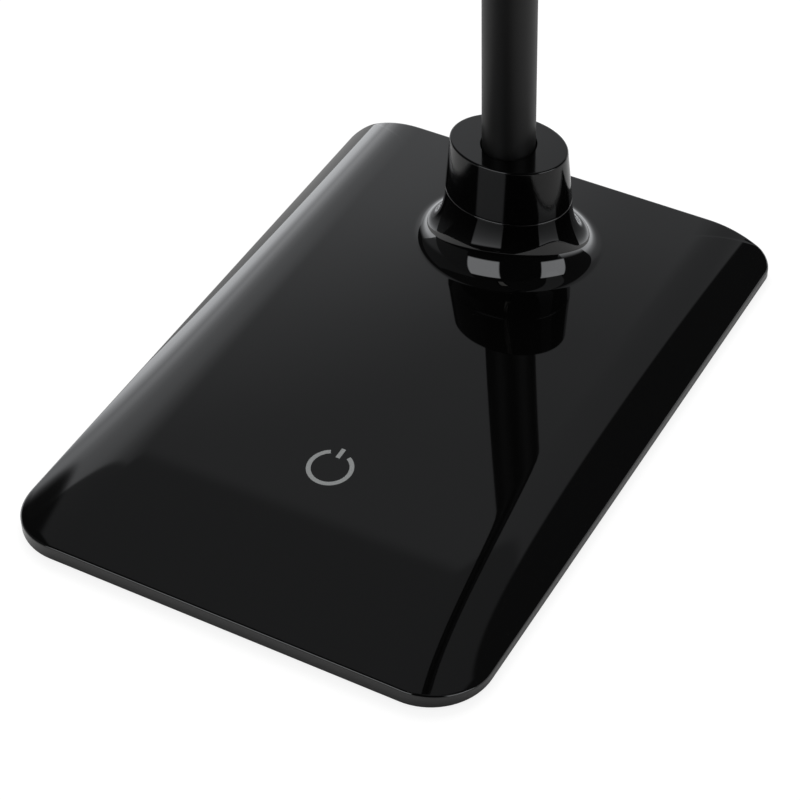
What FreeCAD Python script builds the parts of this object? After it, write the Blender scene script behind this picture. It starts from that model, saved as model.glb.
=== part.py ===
import FreeCAD, Part
import math
import os

from FreeCAD import Vector

# Gooseneck desk lamp with a touch switch, in millimetres.
# Origin: centre of the base's footprint, on the surface that the base stands on.
# +Z is up, the user sits on the -Y side, the neck rises near the +Y end.

# Base: plan and top surface
BASE_WIDTH = 120.0
BASE_LENGTH = 169.0
FRONT_CORNER_RADIUS = 14.8
BACK_CORNER_RADIUS = 5.0
EDGE_WALL = 2.5
BACK_THICKNESS = 9.1
FRONT_THICKNESS = 4.0
ROLL_WIDTH = 18.8
ROLL_POWER = 2.2

# Base: shell and plates
COVER_ROOF = 1.8
COVER_RIM = 1.2
PLATE_LEDGE = 3.8
PLATE_CLEARANCE = 0.15
PLATE_THICKNESS = 1.5
BALLAST_SIDE_INSET = 15.0
BALLAST_THICKNESS = 2.0
BALLAST_CORNER = 4.0
BALLAST_FRONT_INSET = 35.0
BALLAST_BOARD_GAP = 5.4
RIVET_INSET = 9.0
RIVET_RADIUS = 2.0

# Anti-slip pad and base screws
PAD_THICKNESS = 1.0
PAD_INSET = 6.0
SCREW_SHANK_RADIUS = 1.3
SCREW_HEAD_RADIUS = 2.5
SCREW_HEAD_HEIGHT = 1.1
SCREW_LENGTH = 3.6
SCREW_HOLE_CLEARANCE = 0.1
SCREW_BOSS_WALL = 1.7
RECESS_LENGTH = 3.0
RECESS_WIDTH = 0.5
RECESS_DEPTH = 0.5
SCREW_SIDE_INSET = 16.0
SCREW_MIDDLE_INSET = 9.0
SCREW_FRONT_INSET = 13.5
SCREW_BACK_INSET = 12.0

# Touch switch
MARK_INSET = 49.4
MARK_RADIUS = 5.6
MARK_STROKE = 1.1
MARK_GAP_HALF_ANGLE = 28.0
MARK_BAR_START = 3.4
MARK_BAR_END = 6.5
MARK_DEPTH = 0.12
TOUCH_BOARD_LENGTH = 19.0
TOUCH_BOARD_WIDTH = 30.0
TOUCH_BOARD_THICKNESS = 0.6
ELECTRODE_RADIUS = 8.0
ELECTRODE_THICKNESS = 0.1

# Control board and supply inlet
BOARD_WIDTH = 70.0
BOARD_LENGTH = 33.0
BOARD_THICKNESS = 1.2
BOARD_BACK_INSET = 5.6
BOARD_CORNER = 2.0
INSULATOR_THICKNESS = 0.5
INLET_WIDTH = 8.94
INLET_HEIGHT = 3.26
INLET_DEPTH = 7.35
INLET_WALL = 0.3
INLET_TONGUE_WIDTH = 6.69
INLET_TONGUE_THICKNESS = 0.7
INLET_TONGUE_LENGTH = 5.6
INLET_CLEARANCE = 0.15
INLET_BODY_LENGTH = 1.2
CONNECTOR_SIZE = (7.6, 5.0, 2.6)
CONNECTOR_FLOOR = 1.0

# Chips on the control board: width, length, height, then the side they lie on,
# their distance from that side of the board and their place along it from its middle
BOARD_CHIPS = (
    (5.0, 6.2, 1.6, -1, 13.0, -8.0),
    (5.0, 4.0, 1.5, 1, 13.0, -9.0),
    (6.0, 6.0, 2.4, -1, 11.0, 3.0),
    (4.4, 2.6, 2.0, 1, 11.0, 1.0),
)
CAPACITOR_SIZE = (2.0, 1.2, 0.8)
CAPACITOR_COUNT = 5
CAPACITOR_PITCH = 3.6
CAPACITOR_SIDE_INSET = 6.6
CAPACITOR_BACK_INSET = 8.0

# Pedestal, collar and anchor
NECK_BACK_INSET = 30.0
SEAM_HEIGHT = 25.4
SEAM_HALF_X = 16.4
SEAM_HALF_Y = 12.9
FLARE_RUN = 8.0
FLARE_SINK = 0.35
FLARE_STEPS = 10
PEDESTAL_WALL = 2.4
PEDESTAL_WEB = 3.0
COLLAR_HEIGHT = 14.6
COLLAR_TOP_HALF_X = 15.2
COLLAR_TOP_HALF_Y = 11.2
COLLAR_EDGE = 0.35
COLLAR_SOCKET_DEPTH = 10.0
COLLAR_SOCKET_CLEARANCE = 0.4
ANCHOR_RADIUS = 5.0
ANCHOR_CLEARANCE = 0.08
ANCHOR_BELOW_WEB = 7.0
ANCHOR_SPIGOT_RADIUS = 3.4
ANCHOR_SPIGOT_LENGTH = 6.0
WASHER_RADIUS = 8.5
WASHER_THICKNESS = 1.0
NUT_ACROSS_FLATS = 14.0
NUT_HEIGHT = 4.0

# Neck: a sleeve over a steel core, cut into links that hinge about ball centres
SLEEVE_RADIUS = 6.6
SLEEVE_WALL = 1.2
CORE_BORE = 2.0
CUP_CLEARANCE = 0.5
ROOT_LENGTH = 24.0
LINK_LENGTH = 40.0
LINK_COUNT = 9
NECK_STRAIGHT = 225.0
ARCH_RADIUS = 85.0
LEAD_RADIUS = 0.8
LEAD_SPACING = 1.7
LEAD_END_GAP = 0.5

# Head
HEAD_LENGTH = 150.0
HEAD_WIDTH = 46.0
HEAD_THICKNESS = 15.0
HEAD_CORNER = 14.0
HEAD_TOP_ROUND = 5.5
HEAD_WALL = 1.8
FERRULE_WALL = 0.8
FERRULE_GRIP = 12.0
FERRULE_NECK = 3.0
FERRULE_SPIGOT_GAP = 0.3
FERRULE_SPIGOT_LENGTH = 8.0
BEZEL_THICKNESS = 2.0
BEZEL_CLEARANCE = 0.12
BEZEL_FRAME = 5.5
BEZEL_LIP = 1.2
BEZEL_SCREW_X = 11.5
DIFFUSER_THICKNESS = 1.4
DIFFUSER_CLEARANCE = 0.1
LED_BOARD_LENGTH = 104.0
LED_BOARD_WIDTH = 24.0
LED_BOARD_THICKNESS = 1.6
LED_SIZE = (2.8, 3.5, 0.8)
LED_ROWS = 2
LED_COLUMNS = 12
LED_END_MARGIN = 6.0
SPREADER_THICKNESS = 1.2
SPREADER_FLANGE = 2.6
SPREADER_OVERHANG = 2.0
SPREADER_BOSS_HEIGHT = 2.9
HEAD_SCREW_INSET = 8.0
HEAD_SCREW_LENGTH = 6.0
BOARD_SCREW_INSET = 2.6
BOARD_SCREW_HEAD_RADIUS = 2.1

# Levels and places that follow from the sizes above
BASE_FRONT = -BASE_LENGTH / 2
BASE_BACK = BASE_LENGTH / 2
BASE_UNDER = PAD_THICKNESS
PLATE_TOP = BASE_UNDER + PLATE_THICKNESS
BALLAST_TOP = PLATE_TOP + BALLAST_THICKNESS
BOARD_BOTTOM = PLATE_TOP + INSULATOR_THICKNESS
BOARD_TOP = BOARD_BOTTOM + BOARD_THICKNESS
BOARD_BACK = BASE_BACK - BOARD_BACK_INSET
BOARD_MIDDLE = BOARD_BACK - BOARD_LENGTH / 2
BALLAST_WIDTH = BASE_WIDTH - 2 * BALLAST_SIDE_INSET
BALLAST_FRONT = BASE_FRONT + BALLAST_FRONT_INSET
BALLAST_BACK = BOARD_BACK - BOARD_LENGTH - BALLAST_BOARD_GAP
INLET_MIDDLE = BOARD_TOP + INLET_HEIGHT / 2
MARK_Y = BASE_FRONT + MARK_INSET
NECK_Y = BASE_BACK - NECK_BACK_INSET
WEB_UNDER = SEAM_HEIGHT - PEDESTAL_WEB
COLLAR_TOP = SEAM_HEIGHT + COLLAR_HEIGHT
SOCKET_FLOOR = COLLAR_TOP - COLLAR_SOCKET_DEPTH
ARCH_LENGTH = ARCH_RADIUS * math.pi / 2
ARCH_TOP = COLLAR_TOP + NECK_STRAIGHT + ARCH_RADIUS
NECK_LENGTH = ROOT_LENGTH + LINK_COUNT * LINK_LENGTH
NECK_END_Y = NECK_Y - ARCH_RADIUS - (NECK_LENGTH - NECK_STRAIGHT - ARCH_LENGTH)
HEAD_REAR = NECK_END_Y - FERRULE_NECK
HEAD_FRONT = HEAD_REAR - HEAD_LENGTH
HEAD_MIDDLE = (HEAD_REAR + HEAD_FRONT) / 2
HEAD_UNDER = ARCH_TOP - HEAD_THICKNESS / 2
HEAD_TOP = ARCH_TOP + HEAD_THICKNESS / 2
BEZEL_TOP = HEAD_UNDER + BEZEL_THICKNESS
HEAD_ROOF_UNDER = HEAD_TOP - HEAD_WALL
SPREADER_TOP = HEAD_ROOF_UNDER - SPREADER_BOSS_HEIGHT
LED_BOARD_TOP = SPREADER_TOP - SPREADER_THICKNESS
LED_BOARD_BOTTOM = LED_BOARD_TOP - LED_BOARD_THICKNESS
CORE_RADIUS = SLEEVE_RADIUS - SLEEVE_WALL
CUP_RADIUS = SLEEVE_RADIUS + CUP_CLEARANCE
FERRULE_RADIUS = SLEEVE_RADIUS + FERRULE_WALL
FERRULE_SPIGOT_RADIUS = HEAD_THICKNESS / 2 - BEZEL_THICKNESS - FERRULE_SPIGOT_GAP
CONNECTOR_FACE_Y = HEAD_MIDDLE + LED_BOARD_LENGTH / 2

UP = Vector(0, 0, 1)
ACROSS = Vector(1, 0, 0)
BACKWARD = Vector(0, 1, 0)

# Construction: how far the top surface runs past the base, its grid, the height of tall cutters,
# how far a cutter reaches past the face it opens, and the length under which nothing is made
SURFACE_MARGIN = 4.0
SURFACE_STEP_X = 2.0
SURFACE_STEP_Y = 8.0
LOFT_DEPTH = 30.0
OVERSHOOT = 1.0
SHORTEST = 0.01


def save(shape, node):
    """Write one sub-part."""
    shape.exportStep("parts/" + node + ".step")


def rounded_prism(x_size, y_size, z_low, z_high, front_radius, back_radius, y_middle=0.0):
    """Upright prism on a rectangle that is centred on x = 0; a corner without radius stays sharp."""
    x = x_size / 2
    front, back = y_middle - y_size / 2, y_middle + y_size / 2
    f, b = max(front_radius, 0.0), max(back_radius, 0.0)
    turn = math.sqrt(0.5)
    corners = [
        ((x - f, front), (x - f + f * turn, front + f - f * turn), (x, front + f)),
        ((x, back - b), (x - b + b * turn, back - b + b * turn), (x - b, back)),
        ((-x + b, back), (-x + b - b * turn, back - b + b * turn), (-x, back - b)),
        ((-x, front + f), (-x + f - f * turn, front + f - f * turn), (-x + f, front)),
    ]
    edges = []
    for index, corner in enumerate(corners):
        start, middle, end = (Vector(px, py, z_low) for px, py in corner)
        if start.distanceToPoint(end) > SHORTEST:
            edges.append(Part.Arc(start, middle, end).toShape())
        next_x, next_y = corners[(index + 1) % len(corners)][0]
        edges.append(Part.makeLine(end, Vector(next_x, next_y, z_low)))
    return Part.Face(Part.Wire(edges)).extrude(UP * (z_high - z_low))


def slot_bar(width, height, y_front, y_back, z_middle):
    """Bar along y whose section is a slot with round ends, centred on x = 0."""
    radius = height / 2
    straight = width / 2 - radius
    edges = []
    for side in (-1, 1):
        low = Vector(side * straight, y_front, z_middle - side * radius)
        tip = Vector(side * width / 2, y_front, z_middle)
        high = Vector(side * straight, y_front, z_middle + side * radius)
        edges.append(Part.Arc(low, tip, high).toShape())
        edges.append(Part.makeLine(high, Vector(-side * straight, y_front, high.z)))
    return Part.Face(Part.Wire(edges)).extrude(BACKWARD * (y_back - y_front))


def edges_at(shape, height):
    """Edges that lie level at a height."""
    return [edge for edge in shape.Edges if abs(edge.BoundBox.ZMin - height) < SHORTEST]


def box(x_size, y_size, z_size, x, y, z):
    """Box centred on x and y, standing on z."""
    return Part.makeBox(x_size, y_size, z_size, Vector(x - x_size / 2, y - y_size / 2, z))


def rod(radius, z_low, z_high, x=0.0, y=0.0):
    """Upright cylinder."""
    return Part.makeCylinder(radius, z_high - z_low, Vector(x, y, z_low), UP)


def together(shapes):
    """Group of separate solids in one node."""
    return Part.makeCompound(shapes)


def spine_height(y):
    """Height of the top surface over the middle of the base: an arc, level at the back edge."""
    share = (BASE_BACK - y) / BASE_LENGTH
    return BASE_UNDER + BACK_THICKNESS - (BACK_THICKNESS - FRONT_THICKNESS) * share ** 2


def top_height(x, y):
    """Height of the top surface, which rolls down to the edge wall at both sides."""
    edge = BASE_UNDER + EDGE_WALL
    reach = max(0.0, (abs(x) - BASE_WIDTH / 2 + ROLL_WIDTH) / ROLL_WIDTH)
    return edge + (spine_height(y) - edge) * (1 - reach ** ROLL_POWER)


def under_top(drop):
    """Everything below the top surface lowered by drop, as a solid wider than the base."""
    half_x = BASE_WIDTH / 2 + SURFACE_MARGIN
    half_y = BASE_LENGTH / 2 + SURFACE_MARGIN
    columns = 2 * round(half_x / SURFACE_STEP_X)
    rows = 2 * round(half_y / SURFACE_STEP_Y)
    grid = []
    for i in range(columns + 1):
        x = half_x * (2 * i / columns - 1)
        ys = [half_y * (2 * j / rows - 1) for j in range(rows + 1)]
        grid.append([Vector(x, y, top_height(x, y) - drop) for y in ys])
    surface = Part.BSplineSurface()
    surface.interpolate(grid)
    return surface.toShape().extrude(Vector(0, 0, -LOFT_DEPTH))


def screw_places():
    """The six screws that hold the bottom plate."""
    corner_x = BASE_WIDTH / 2 - SCREW_SIDE_INSET
    middle_x = BASE_WIDTH / 2 - SCREW_MIDDLE_INSET
    rows = (BASE_FRONT + SCREW_FRONT_INSET, BASE_BACK - SCREW_BACK_INSET)
    corners = [(side * corner_x, y) for y in rows for side in (-1, 1)]
    return corners + [(side * middle_x, 0.0) for side in (-1, 1)]


def ellipse_wire(half_x, half_y, z):
    """Level ellipse round the neck's axis, longer across the base."""
    centre = Vector(0, NECK_Y, z)
    ellipse = Part.Ellipse(centre + ACROSS * half_x, centre + BACKWARD * half_y, centre)
    return Part.Wire(ellipse.toShape())


def pedestal(inset, drop, z_low, z_high):
    """The flare below the collar: a quarter ellipse from an upright seam to a level foot."""
    rise = SEAM_HEIGHT - spine_height(NECK_Y) + FLARE_SINK
    wires = []
    for step in range(FLARE_STEPS, -1, -1):
        turn = math.pi / 2 * step / FLARE_STEPS
        spread = FLARE_RUN * (1 - math.cos(turn)) - inset
        z = SEAM_HEIGHT - rise * math.sin(turn) - drop
        wires.append(ellipse_wire(SEAM_HALF_X + spread, SEAM_HALF_Y + spread, z))
    body = Part.makeLoft(wires, True, False)
    band = box(BASE_WIDTH, BASE_WIDTH, z_high - z_low, 0.0, NECK_Y, z_low)
    return body.common(band)


def power_mark():
    """Power symbol let into the top surface: a ring that is open at the top, and a bar."""
    high = BASE_UNDER + BACK_THICKNESS
    outer, inner = MARK_RADIUS, MARK_RADIUS - MARK_STROKE
    ring = rod(outer, 0, high, 0, MARK_Y).cut(rod(inner, 0, high, 0, MARK_Y))
    reach = 2 * outer
    opening = math.tan(math.radians(MARK_GAP_HALF_ANGLE)) * reach
    middle = Vector(0, MARK_Y, 0)
    corners = [middle, middle + Vector(opening, reach, 0), middle + Vector(-opening, reach, 0), middle]
    wedge = Part.Face(Part.makePolygon(corners)).extrude(UP * high)
    bar_length = MARK_BAR_END - MARK_BAR_START
    bar = box(MARK_STROKE, bar_length, high, 0, MARK_Y + (MARK_BAR_START + MARK_BAR_END) / 2, 0)
    band = under_top(0).cut(under_top(MARK_DEPTH))
    return together([ring.cut(wedge).common(band), bar.common(band)])


def inlet_window(clearance):
    """Rounded mouth of the supply inlet, through the back wall."""
    width, height = INLET_WIDTH + 2 * clearance, INLET_HEIGHT + 2 * clearance
    return slot_bar(width, height, BASE_BACK - INLET_DEPTH, BASE_BACK, INLET_MIDDLE)


def base_cover():
    """Moulded cover: pillow top, pedestal, ledge for the bottom plate and screw bosses."""
    top = under_top(0)
    plan = rounded_prism(
        BASE_WIDTH, BASE_LENGTH, BASE_UNDER, LOFT_DEPTH, FRONT_CORNER_RADIUS, BACK_CORNER_RADIUS)
    shell = plan.common(top).fuse(pedestal(0, 0, PLATE_TOP, SEAM_HEIGHT))
    rebate = rounded_prism(
        BASE_WIDTH - 2 * COVER_RIM, BASE_LENGTH - 2 * COVER_RIM, 0, PLATE_TOP,
        FRONT_CORNER_RADIUS - COVER_RIM, BACK_CORNER_RADIUS - COVER_RIM)
    inset = COVER_RIM + PLATE_LEDGE
    hollow = rounded_prism(
        BASE_WIDTH - 2 * inset, BASE_LENGTH - 2 * inset, PLATE_TOP, LOFT_DEPTH,
        FRONT_CORNER_RADIUS - inset, FRONT_CORNER_RADIUS - inset).common(under_top(COVER_ROOF))
    for x, y in screw_places():
        hollow = hollow.cut(rod(SCREW_SHANK_RADIUS + SCREW_BOSS_WALL, 0, LOFT_DEPTH, x, y))
    shell = shell.cut(rebate).cut(hollow)
    shell = shell.cut(pedestal(PEDESTAL_WALL, COVER_ROOF, PLATE_TOP, WEB_UNDER))
    anchor_hole = ANCHOR_RADIUS + ANCHOR_CLEARANCE
    shell = shell.cut(rod(anchor_hole, WEB_UNDER - OVERSHOOT, SEAM_HEIGHT + OVERSHOOT, 0, NECK_Y))
    for x, y in screw_places():
        shell = shell.cut(rod(SCREW_SHANK_RADIUS, 0, BASE_UNDER + SCREW_LENGTH, x, y))
    shell = shell.cut(inlet_window(INLET_CLEARANCE))
    return shell.cut(power_mark())


def base_screw(x, y):
    """Countersunk screw, head down."""
    low = BASE_UNDER
    head = Part.makeCone(
        SCREW_HEAD_RADIUS, SCREW_SHANK_RADIUS, SCREW_HEAD_HEIGHT, Vector(x, y, low), UP)
    screw = head.fuse(rod(SCREW_SHANK_RADIUS, low, low + SCREW_LENGTH, x, y)).removeSplitter()
    slot = box(RECESS_LENGTH, RECESS_WIDTH, RECESS_DEPTH, x, y, low)
    cross = box(RECESS_WIDTH, RECESS_LENGTH, RECESS_DEPTH, x, y, low)
    return screw.cut(slot).cut(cross)


def bottom_plate():
    """Steel plate that closes the shell, with countersunk holes."""
    inset = COVER_RIM + PLATE_CLEARANCE
    plate = rounded_prism(
        BASE_WIDTH - 2 * inset, BASE_LENGTH - 2 * inset, BASE_UNDER, PLATE_TOP,
        FRONT_CORNER_RADIUS - inset, BACK_CORNER_RADIUS - inset)
    grow = SCREW_HOLE_CLEARANCE
    for x, y in screw_places():
        plate = plate.cut(rod(SCREW_SHANK_RADIUS + grow, 0, PLATE_TOP, x, y))
        plate = plate.cut(Part.makeCone(
            SCREW_HEAD_RADIUS + grow, SCREW_SHANK_RADIUS + grow, SCREW_HEAD_HEIGHT,
            Vector(x, y, BASE_UNDER), UP))
    for x, y in rivet_places():
        plate = plate.cut(rod(RIVET_RADIUS, 0, PLATE_TOP, x, y))
    return plate


def rivet_places():
    """Four rivets through the ballast."""
    x = BALLAST_WIDTH / 2 - RIVET_INSET
    rows = (BALLAST_FRONT + RIVET_INSET, BALLAST_BACK - RIVET_INSET)
    return [(side * x, y) for y in rows for side in (-1, 1)]


def ballast_plate():
    """Steel weight on the bottom plate."""
    length = BALLAST_BACK - BALLAST_FRONT
    middle = (BALLAST_FRONT + BALLAST_BACK) / 2
    plate = rounded_prism(
        BALLAST_WIDTH, length, PLATE_TOP, BALLAST_TOP, BALLAST_CORNER, BALLAST_CORNER, middle)
    for x, y in rivet_places():
        plate = plate.cut(rod(RIVET_RADIUS, 0, LOFT_DEPTH, x, y))
    return plate


def ballast_rivets():
    """Rivets that hold the ballast to the bottom plate."""
    pieces = [rod(RIVET_RADIUS, BASE_UNDER, BALLAST_TOP, x, y) for x, y in rivet_places()]
    return together(pieces)


def anti_slip_pad():
    """Rubber sheet stuck over the bottom plate and its screws."""
    return rounded_prism(
        BASE_WIDTH - 2 * PAD_INSET, BASE_LENGTH - 2 * PAD_INSET, 0, BASE_UNDER,
        FRONT_CORNER_RADIUS - PAD_INSET, FRONT_CORNER_RADIUS - PAD_INSET)


def touch_board():
    """Touch sensing board, on the ballast under the power mark."""
    return box(TOUCH_BOARD_WIDTH, TOUCH_BOARD_LENGTH, TOUCH_BOARD_THICKNESS, 0, MARK_Y, BALLAST_TOP)


def touch_electrode():
    """Copper electrode on the touch board."""
    low = BALLAST_TOP + TOUCH_BOARD_THICKNESS
    return rod(ELECTRODE_RADIUS, low, low + ELECTRODE_THICKNESS, 0, MARK_Y)


def board_insulator():
    """Insulating sheet under the control board."""
    return box(BOARD_WIDTH, BOARD_LENGTH, INSULATOR_THICKNESS, 0, BOARD_MIDDLE, PLATE_TOP)


def control_board():
    """Main board: LED driver and dimmer."""
    return rounded_prism(
        BOARD_WIDTH, BOARD_LENGTH, BOARD_BOTTOM, BOARD_TOP, BOARD_CORNER, BOARD_CORNER, BOARD_MIDDLE)


def board_components():
    """Driver chip, touch chip, inductor, capacitors and diode on the control board."""
    chips = []
    for width, length, height, side, inset, along in BOARD_CHIPS:
        x = side * (BOARD_WIDTH / 2 - inset)
        chips.append(box(width, length, height, x, BOARD_MIDDLE + along, BOARD_TOP))
    width, length, height = CAPACITOR_SIZE
    for index in range(CAPACITOR_COUNT):
        x = BOARD_WIDTH / 2 - CAPACITOR_SIDE_INSET - CAPACITOR_PITCH * index
        chips.append(box(width, length, height, x, BOARD_BACK - CAPACITOR_BACK_INSET, BOARD_TOP))
    return together(chips)


def lead_connector():
    """Two-way connector of the head leads, on the control board under the neck."""
    width, length, height = CONNECTOR_SIZE
    block = box(width, length, height, 0, NECK_Y, BOARD_TOP)
    for side in (-1, 1):
        x = side * LEAD_SPACING / 2
        block = block.cut(rod(LEAD_RADIUS, BOARD_TOP + CONNECTOR_FLOOR, LOFT_DEPTH, x, NECK_Y))
    return block


def supply_inlet():
    """USB-C receptacle: rounded metal shell, moulded back and contact tongue."""
    front = BASE_BACK - INLET_DEPTH
    start = front + INLET_BODY_LENGTH
    cavity = slot_bar(
        INLET_WIDTH - 2 * INLET_WALL, INLET_HEIGHT - 2 * INLET_WALL, start, BASE_BACK, INLET_MIDDLE)
    tongue = Part.makeBox(
        INLET_TONGUE_WIDTH, INLET_TONGUE_LENGTH - INLET_BODY_LENGTH, INLET_TONGUE_THICKNESS,
        Vector(-INLET_TONGUE_WIDTH / 2, start, INLET_MIDDLE - INLET_TONGUE_THICKNESS / 2))
    return inlet_window(0).cut(cavity).fuse(tongue).removeSplitter()


def collar():
    """Oval collar that caps the pedestal, with a socket for the neck."""
    solid = Part.makeLoft([
        ellipse_wire(SEAM_HALF_X - COLLAR_EDGE, SEAM_HALF_Y - COLLAR_EDGE, SEAM_HEIGHT),
        ellipse_wire(SEAM_HALF_X, SEAM_HALF_Y, SEAM_HEIGHT + COLLAR_EDGE),
        ellipse_wire(COLLAR_TOP_HALF_X, COLLAR_TOP_HALF_Y, COLLAR_TOP - COLLAR_EDGE),
        ellipse_wire(COLLAR_TOP_HALF_X - COLLAR_EDGE, COLLAR_TOP_HALF_Y - COLLAR_EDGE, COLLAR_TOP),
    ], True, True)
    socket_radius = SLEEVE_RADIUS + COLLAR_SOCKET_CLEARANCE
    socket = rod(socket_radius, SOCKET_FLOOR, COLLAR_TOP + OVERSHOOT, 0, NECK_Y)
    bore = rod(ANCHOR_RADIUS + ANCHOR_CLEARANCE, SEAM_HEIGHT - OVERSHOOT, COLLAR_TOP, 0, NECK_Y)
    return solid.cut(socket).cut(bore)


def neck_anchor():
    """Threaded tube crimped into the core, which clamps neck, collar and cover together."""
    low = WEB_UNDER - ANCHOR_BELOW_WEB
    tube = rod(ANCHOR_RADIUS, low, SOCKET_FLOOR, 0, NECK_Y)
    tube = tube.fuse(rod(ANCHOR_SPIGOT_RADIUS, low, SOCKET_FLOOR + ANCHOR_SPIGOT_LENGTH, 0, NECK_Y))
    return tube.removeSplitter().cut(rod(CORE_BORE, 0, COLLAR_TOP, 0, NECK_Y))


def anchor_washer():
    """Washer under the pedestal's web."""
    low = WEB_UNDER - WASHER_THICKNESS
    disc = rod(WASHER_RADIUS, low, WEB_UNDER, 0, NECK_Y)
    return disc.cut(rod(ANCHOR_RADIUS + ANCHOR_CLEARANCE, 0, COLLAR_TOP, 0, NECK_Y))


def anchor_nut():
    """Thin hexagon nut that pulls the neck down."""
    high = WEB_UNDER - WASHER_THICKNESS
    corner = NUT_ACROSS_FLATS / math.sqrt(3)
    points = []
    for step in range(7):
        angle = math.radians(60 * step)
        points.append(Vector(corner * math.cos(angle), NECK_Y + corner * math.sin(angle), high - NUT_HEIGHT))
    hexagon = Part.Face(Part.makePolygon(points)).extrude(UP * NUT_HEIGHT)
    return hexagon.cut(rod(ANCHOR_RADIUS, 0, COLLAR_TOP, 0, NECK_Y))


def neck_point(s):
    """Point of the neck's centre line at a length s above the collar's top, and its direction."""
    if s <= NECK_STRAIGHT:
        return Vector(0, NECK_Y, COLLAR_TOP + s), Vector(0, 0, 1)
    turn = min((s - NECK_STRAIGHT) / ARCH_RADIUS, math.pi / 2)
    direction = Vector(0, -math.sin(turn), math.cos(turn))
    y = NECK_Y - ARCH_RADIUS * (1 - math.cos(turn))
    z = COLLAR_TOP + NECK_STRAIGHT + ARCH_RADIUS * math.sin(turn)
    beyond = max(0.0, s - NECK_STRAIGHT - ARCH_LENGTH)
    return Vector(0, y - beyond, z), direction


def along_neck(outer, inner, start, end, side=0.0):
    """Solid of a ring section that follows the neck from start to end, moved sideways by side."""
    arch_centre = Vector(0, NECK_Y - ARCH_RADIUS, COLLAR_TOP + NECK_STRAIGHT)
    bends = (NECK_STRAIGHT, NECK_STRAIGHT + ARCH_LENGTH)
    breaks = [start] + [s for s in bends if start + SHORTEST < s < end - SHORTEST] + [end]
    solid = None
    for low, high in zip(breaks[:-1], breaks[1:]):
        point, direction = neck_point(low)
        point = point + ACROSS * side
        face = Part.Face(Part.Wire(Part.Circle(point, direction, outer).toShape()))
        if inner > 0:
            face = face.cut(Part.Face(Part.Wire(Part.Circle(point, direction, inner).toShape())))
        middle = (low + high) / 2
        if NECK_STRAIGHT < middle < NECK_STRAIGHT + ARCH_LENGTH:
            angle = math.degrees((high - low) / ARCH_RADIUS)
            stretch = face.revolve(arch_centre, ACROSS, angle)
        else:
            stretch = face.extrude(direction * (high - low))
        solid = stretch if solid is None else solid.fuse(stretch)
    return solid.removeSplitter()


def link_piece(outer, inner, start, end, ball_start, ball_end):
    """Length of sleeve or core with a cup round its own hinge and a ball round the next one."""
    solid = along_neck(outer, inner, start, end)
    if ball_start:
        centre, _ = neck_point(start)
        solid = solid.cut(Part.makeSphere(CUP_RADIUS, centre))
    if ball_end:
        centre, direction = neck_point(end)
        face = Part.Face(Part.Wire(Part.Circle(centre, direction, outer).toShape()))
        face = face.cut(Part.Face(Part.Wire(Part.Circle(centre, direction, inner).toShape())))
        tip = face.extrude(direction * SLEEVE_RADIUS).common(Part.makeSphere(SLEEVE_RADIUS, centre))
        solid = solid.fuse(tip).removeSplitter()
    return solid


def lead_pair(start, end):
    """The two head leads side by side, from start to end along the neck."""
    sides = (-LEAD_SPACING / 2, LEAD_SPACING / 2)
    return together([along_neck(LEAD_RADIUS, 0, start, end, side) for side in sides])


def root_core():
    """Fixed foot of the core, crimped round the anchor's spigot."""
    core = link_piece(CORE_RADIUS, CORE_BORE, SOCKET_FLOOR - COLLAR_TOP, ROOT_LENGTH, False, True)
    spigot = rod(ANCHOR_SPIGOT_RADIUS, SOCKET_FLOOR, SOCKET_FLOOR + ANCHOR_SPIGOT_LENGTH, 0, NECK_Y)
    return core.cut(spigot)


def save_neck():
    """Root, then one sleeve, core and pair of leads for each link."""
    foot = SOCKET_FLOOR - COLLAR_TOP
    save(link_piece(SLEEVE_RADIUS, CORE_RADIUS, foot, ROOT_LENGTH, False, True), "neck_root_sleeve")
    save(root_core(), "neck_root_core")
    connector_floor = BOARD_TOP + CONNECTOR_FLOOR - COLLAR_TOP
    lead_reach = SLEEVE_RADIUS - LEAD_END_GAP
    save(lead_pair(connector_floor, ROOT_LENGTH + lead_reach), "neck_root_leads")
    for number in range(1, LINK_COUNT + 1):
        start = ROOT_LENGTH + (number - 1) * LINK_LENGTH
        end = start + LINK_LENGTH
        last = number == LINK_COUNT
        save(link_piece(SLEEVE_RADIUS, CORE_RADIUS, start, end, True, not last), f"neck_sleeve_{number}")
        save(link_piece(CORE_RADIUS, CORE_BORE, start, end, True, not last), f"neck_core_{number}")
        lead_end = end + NECK_END_Y - CONNECTOR_FACE_Y if last else end + lead_reach
        save(lead_pair(start + CUP_RADIUS, lead_end), f"neck_leads_{number}")


def lying_rod(radius, y_back, y_front, x=0.0, z=ARCH_TOP):
    """Cylinder along -y."""
    return Part.makeCylinder(radius, y_back - y_front, Vector(x, y_back, z), Vector(0, -1, 0))


def head_ferrule():
    """Metal end piece that grips the neck and plugs into the head."""
    grip = lying_rod(FERRULE_RADIUS, NECK_END_Y + FERRULE_GRIP, HEAD_REAR)
    spigot = lying_rod(FERRULE_SPIGOT_RADIUS, HEAD_REAR, HEAD_REAR - FERRULE_SPIGOT_LENGTH)
    bore = lying_rod(SLEEVE_RADIUS, NECK_END_Y + FERRULE_GRIP, NECK_END_Y)
    passage = lying_rod(CORE_BORE, NECK_END_Y, HEAD_REAR - FERRULE_SPIGOT_LENGTH)
    return grip.fuse(spigot).removeSplitter().cut(bore).cut(passage)


def head_plan(inset, z_low, z_high):
    """Prism on the head's plan, drawn in by inset."""
    radius = HEAD_CORNER - inset
    return rounded_prism(
        HEAD_WIDTH - 2 * inset, HEAD_LENGTH - 2 * inset, z_low, z_high, radius, radius, HEAD_MIDDLE)


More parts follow.
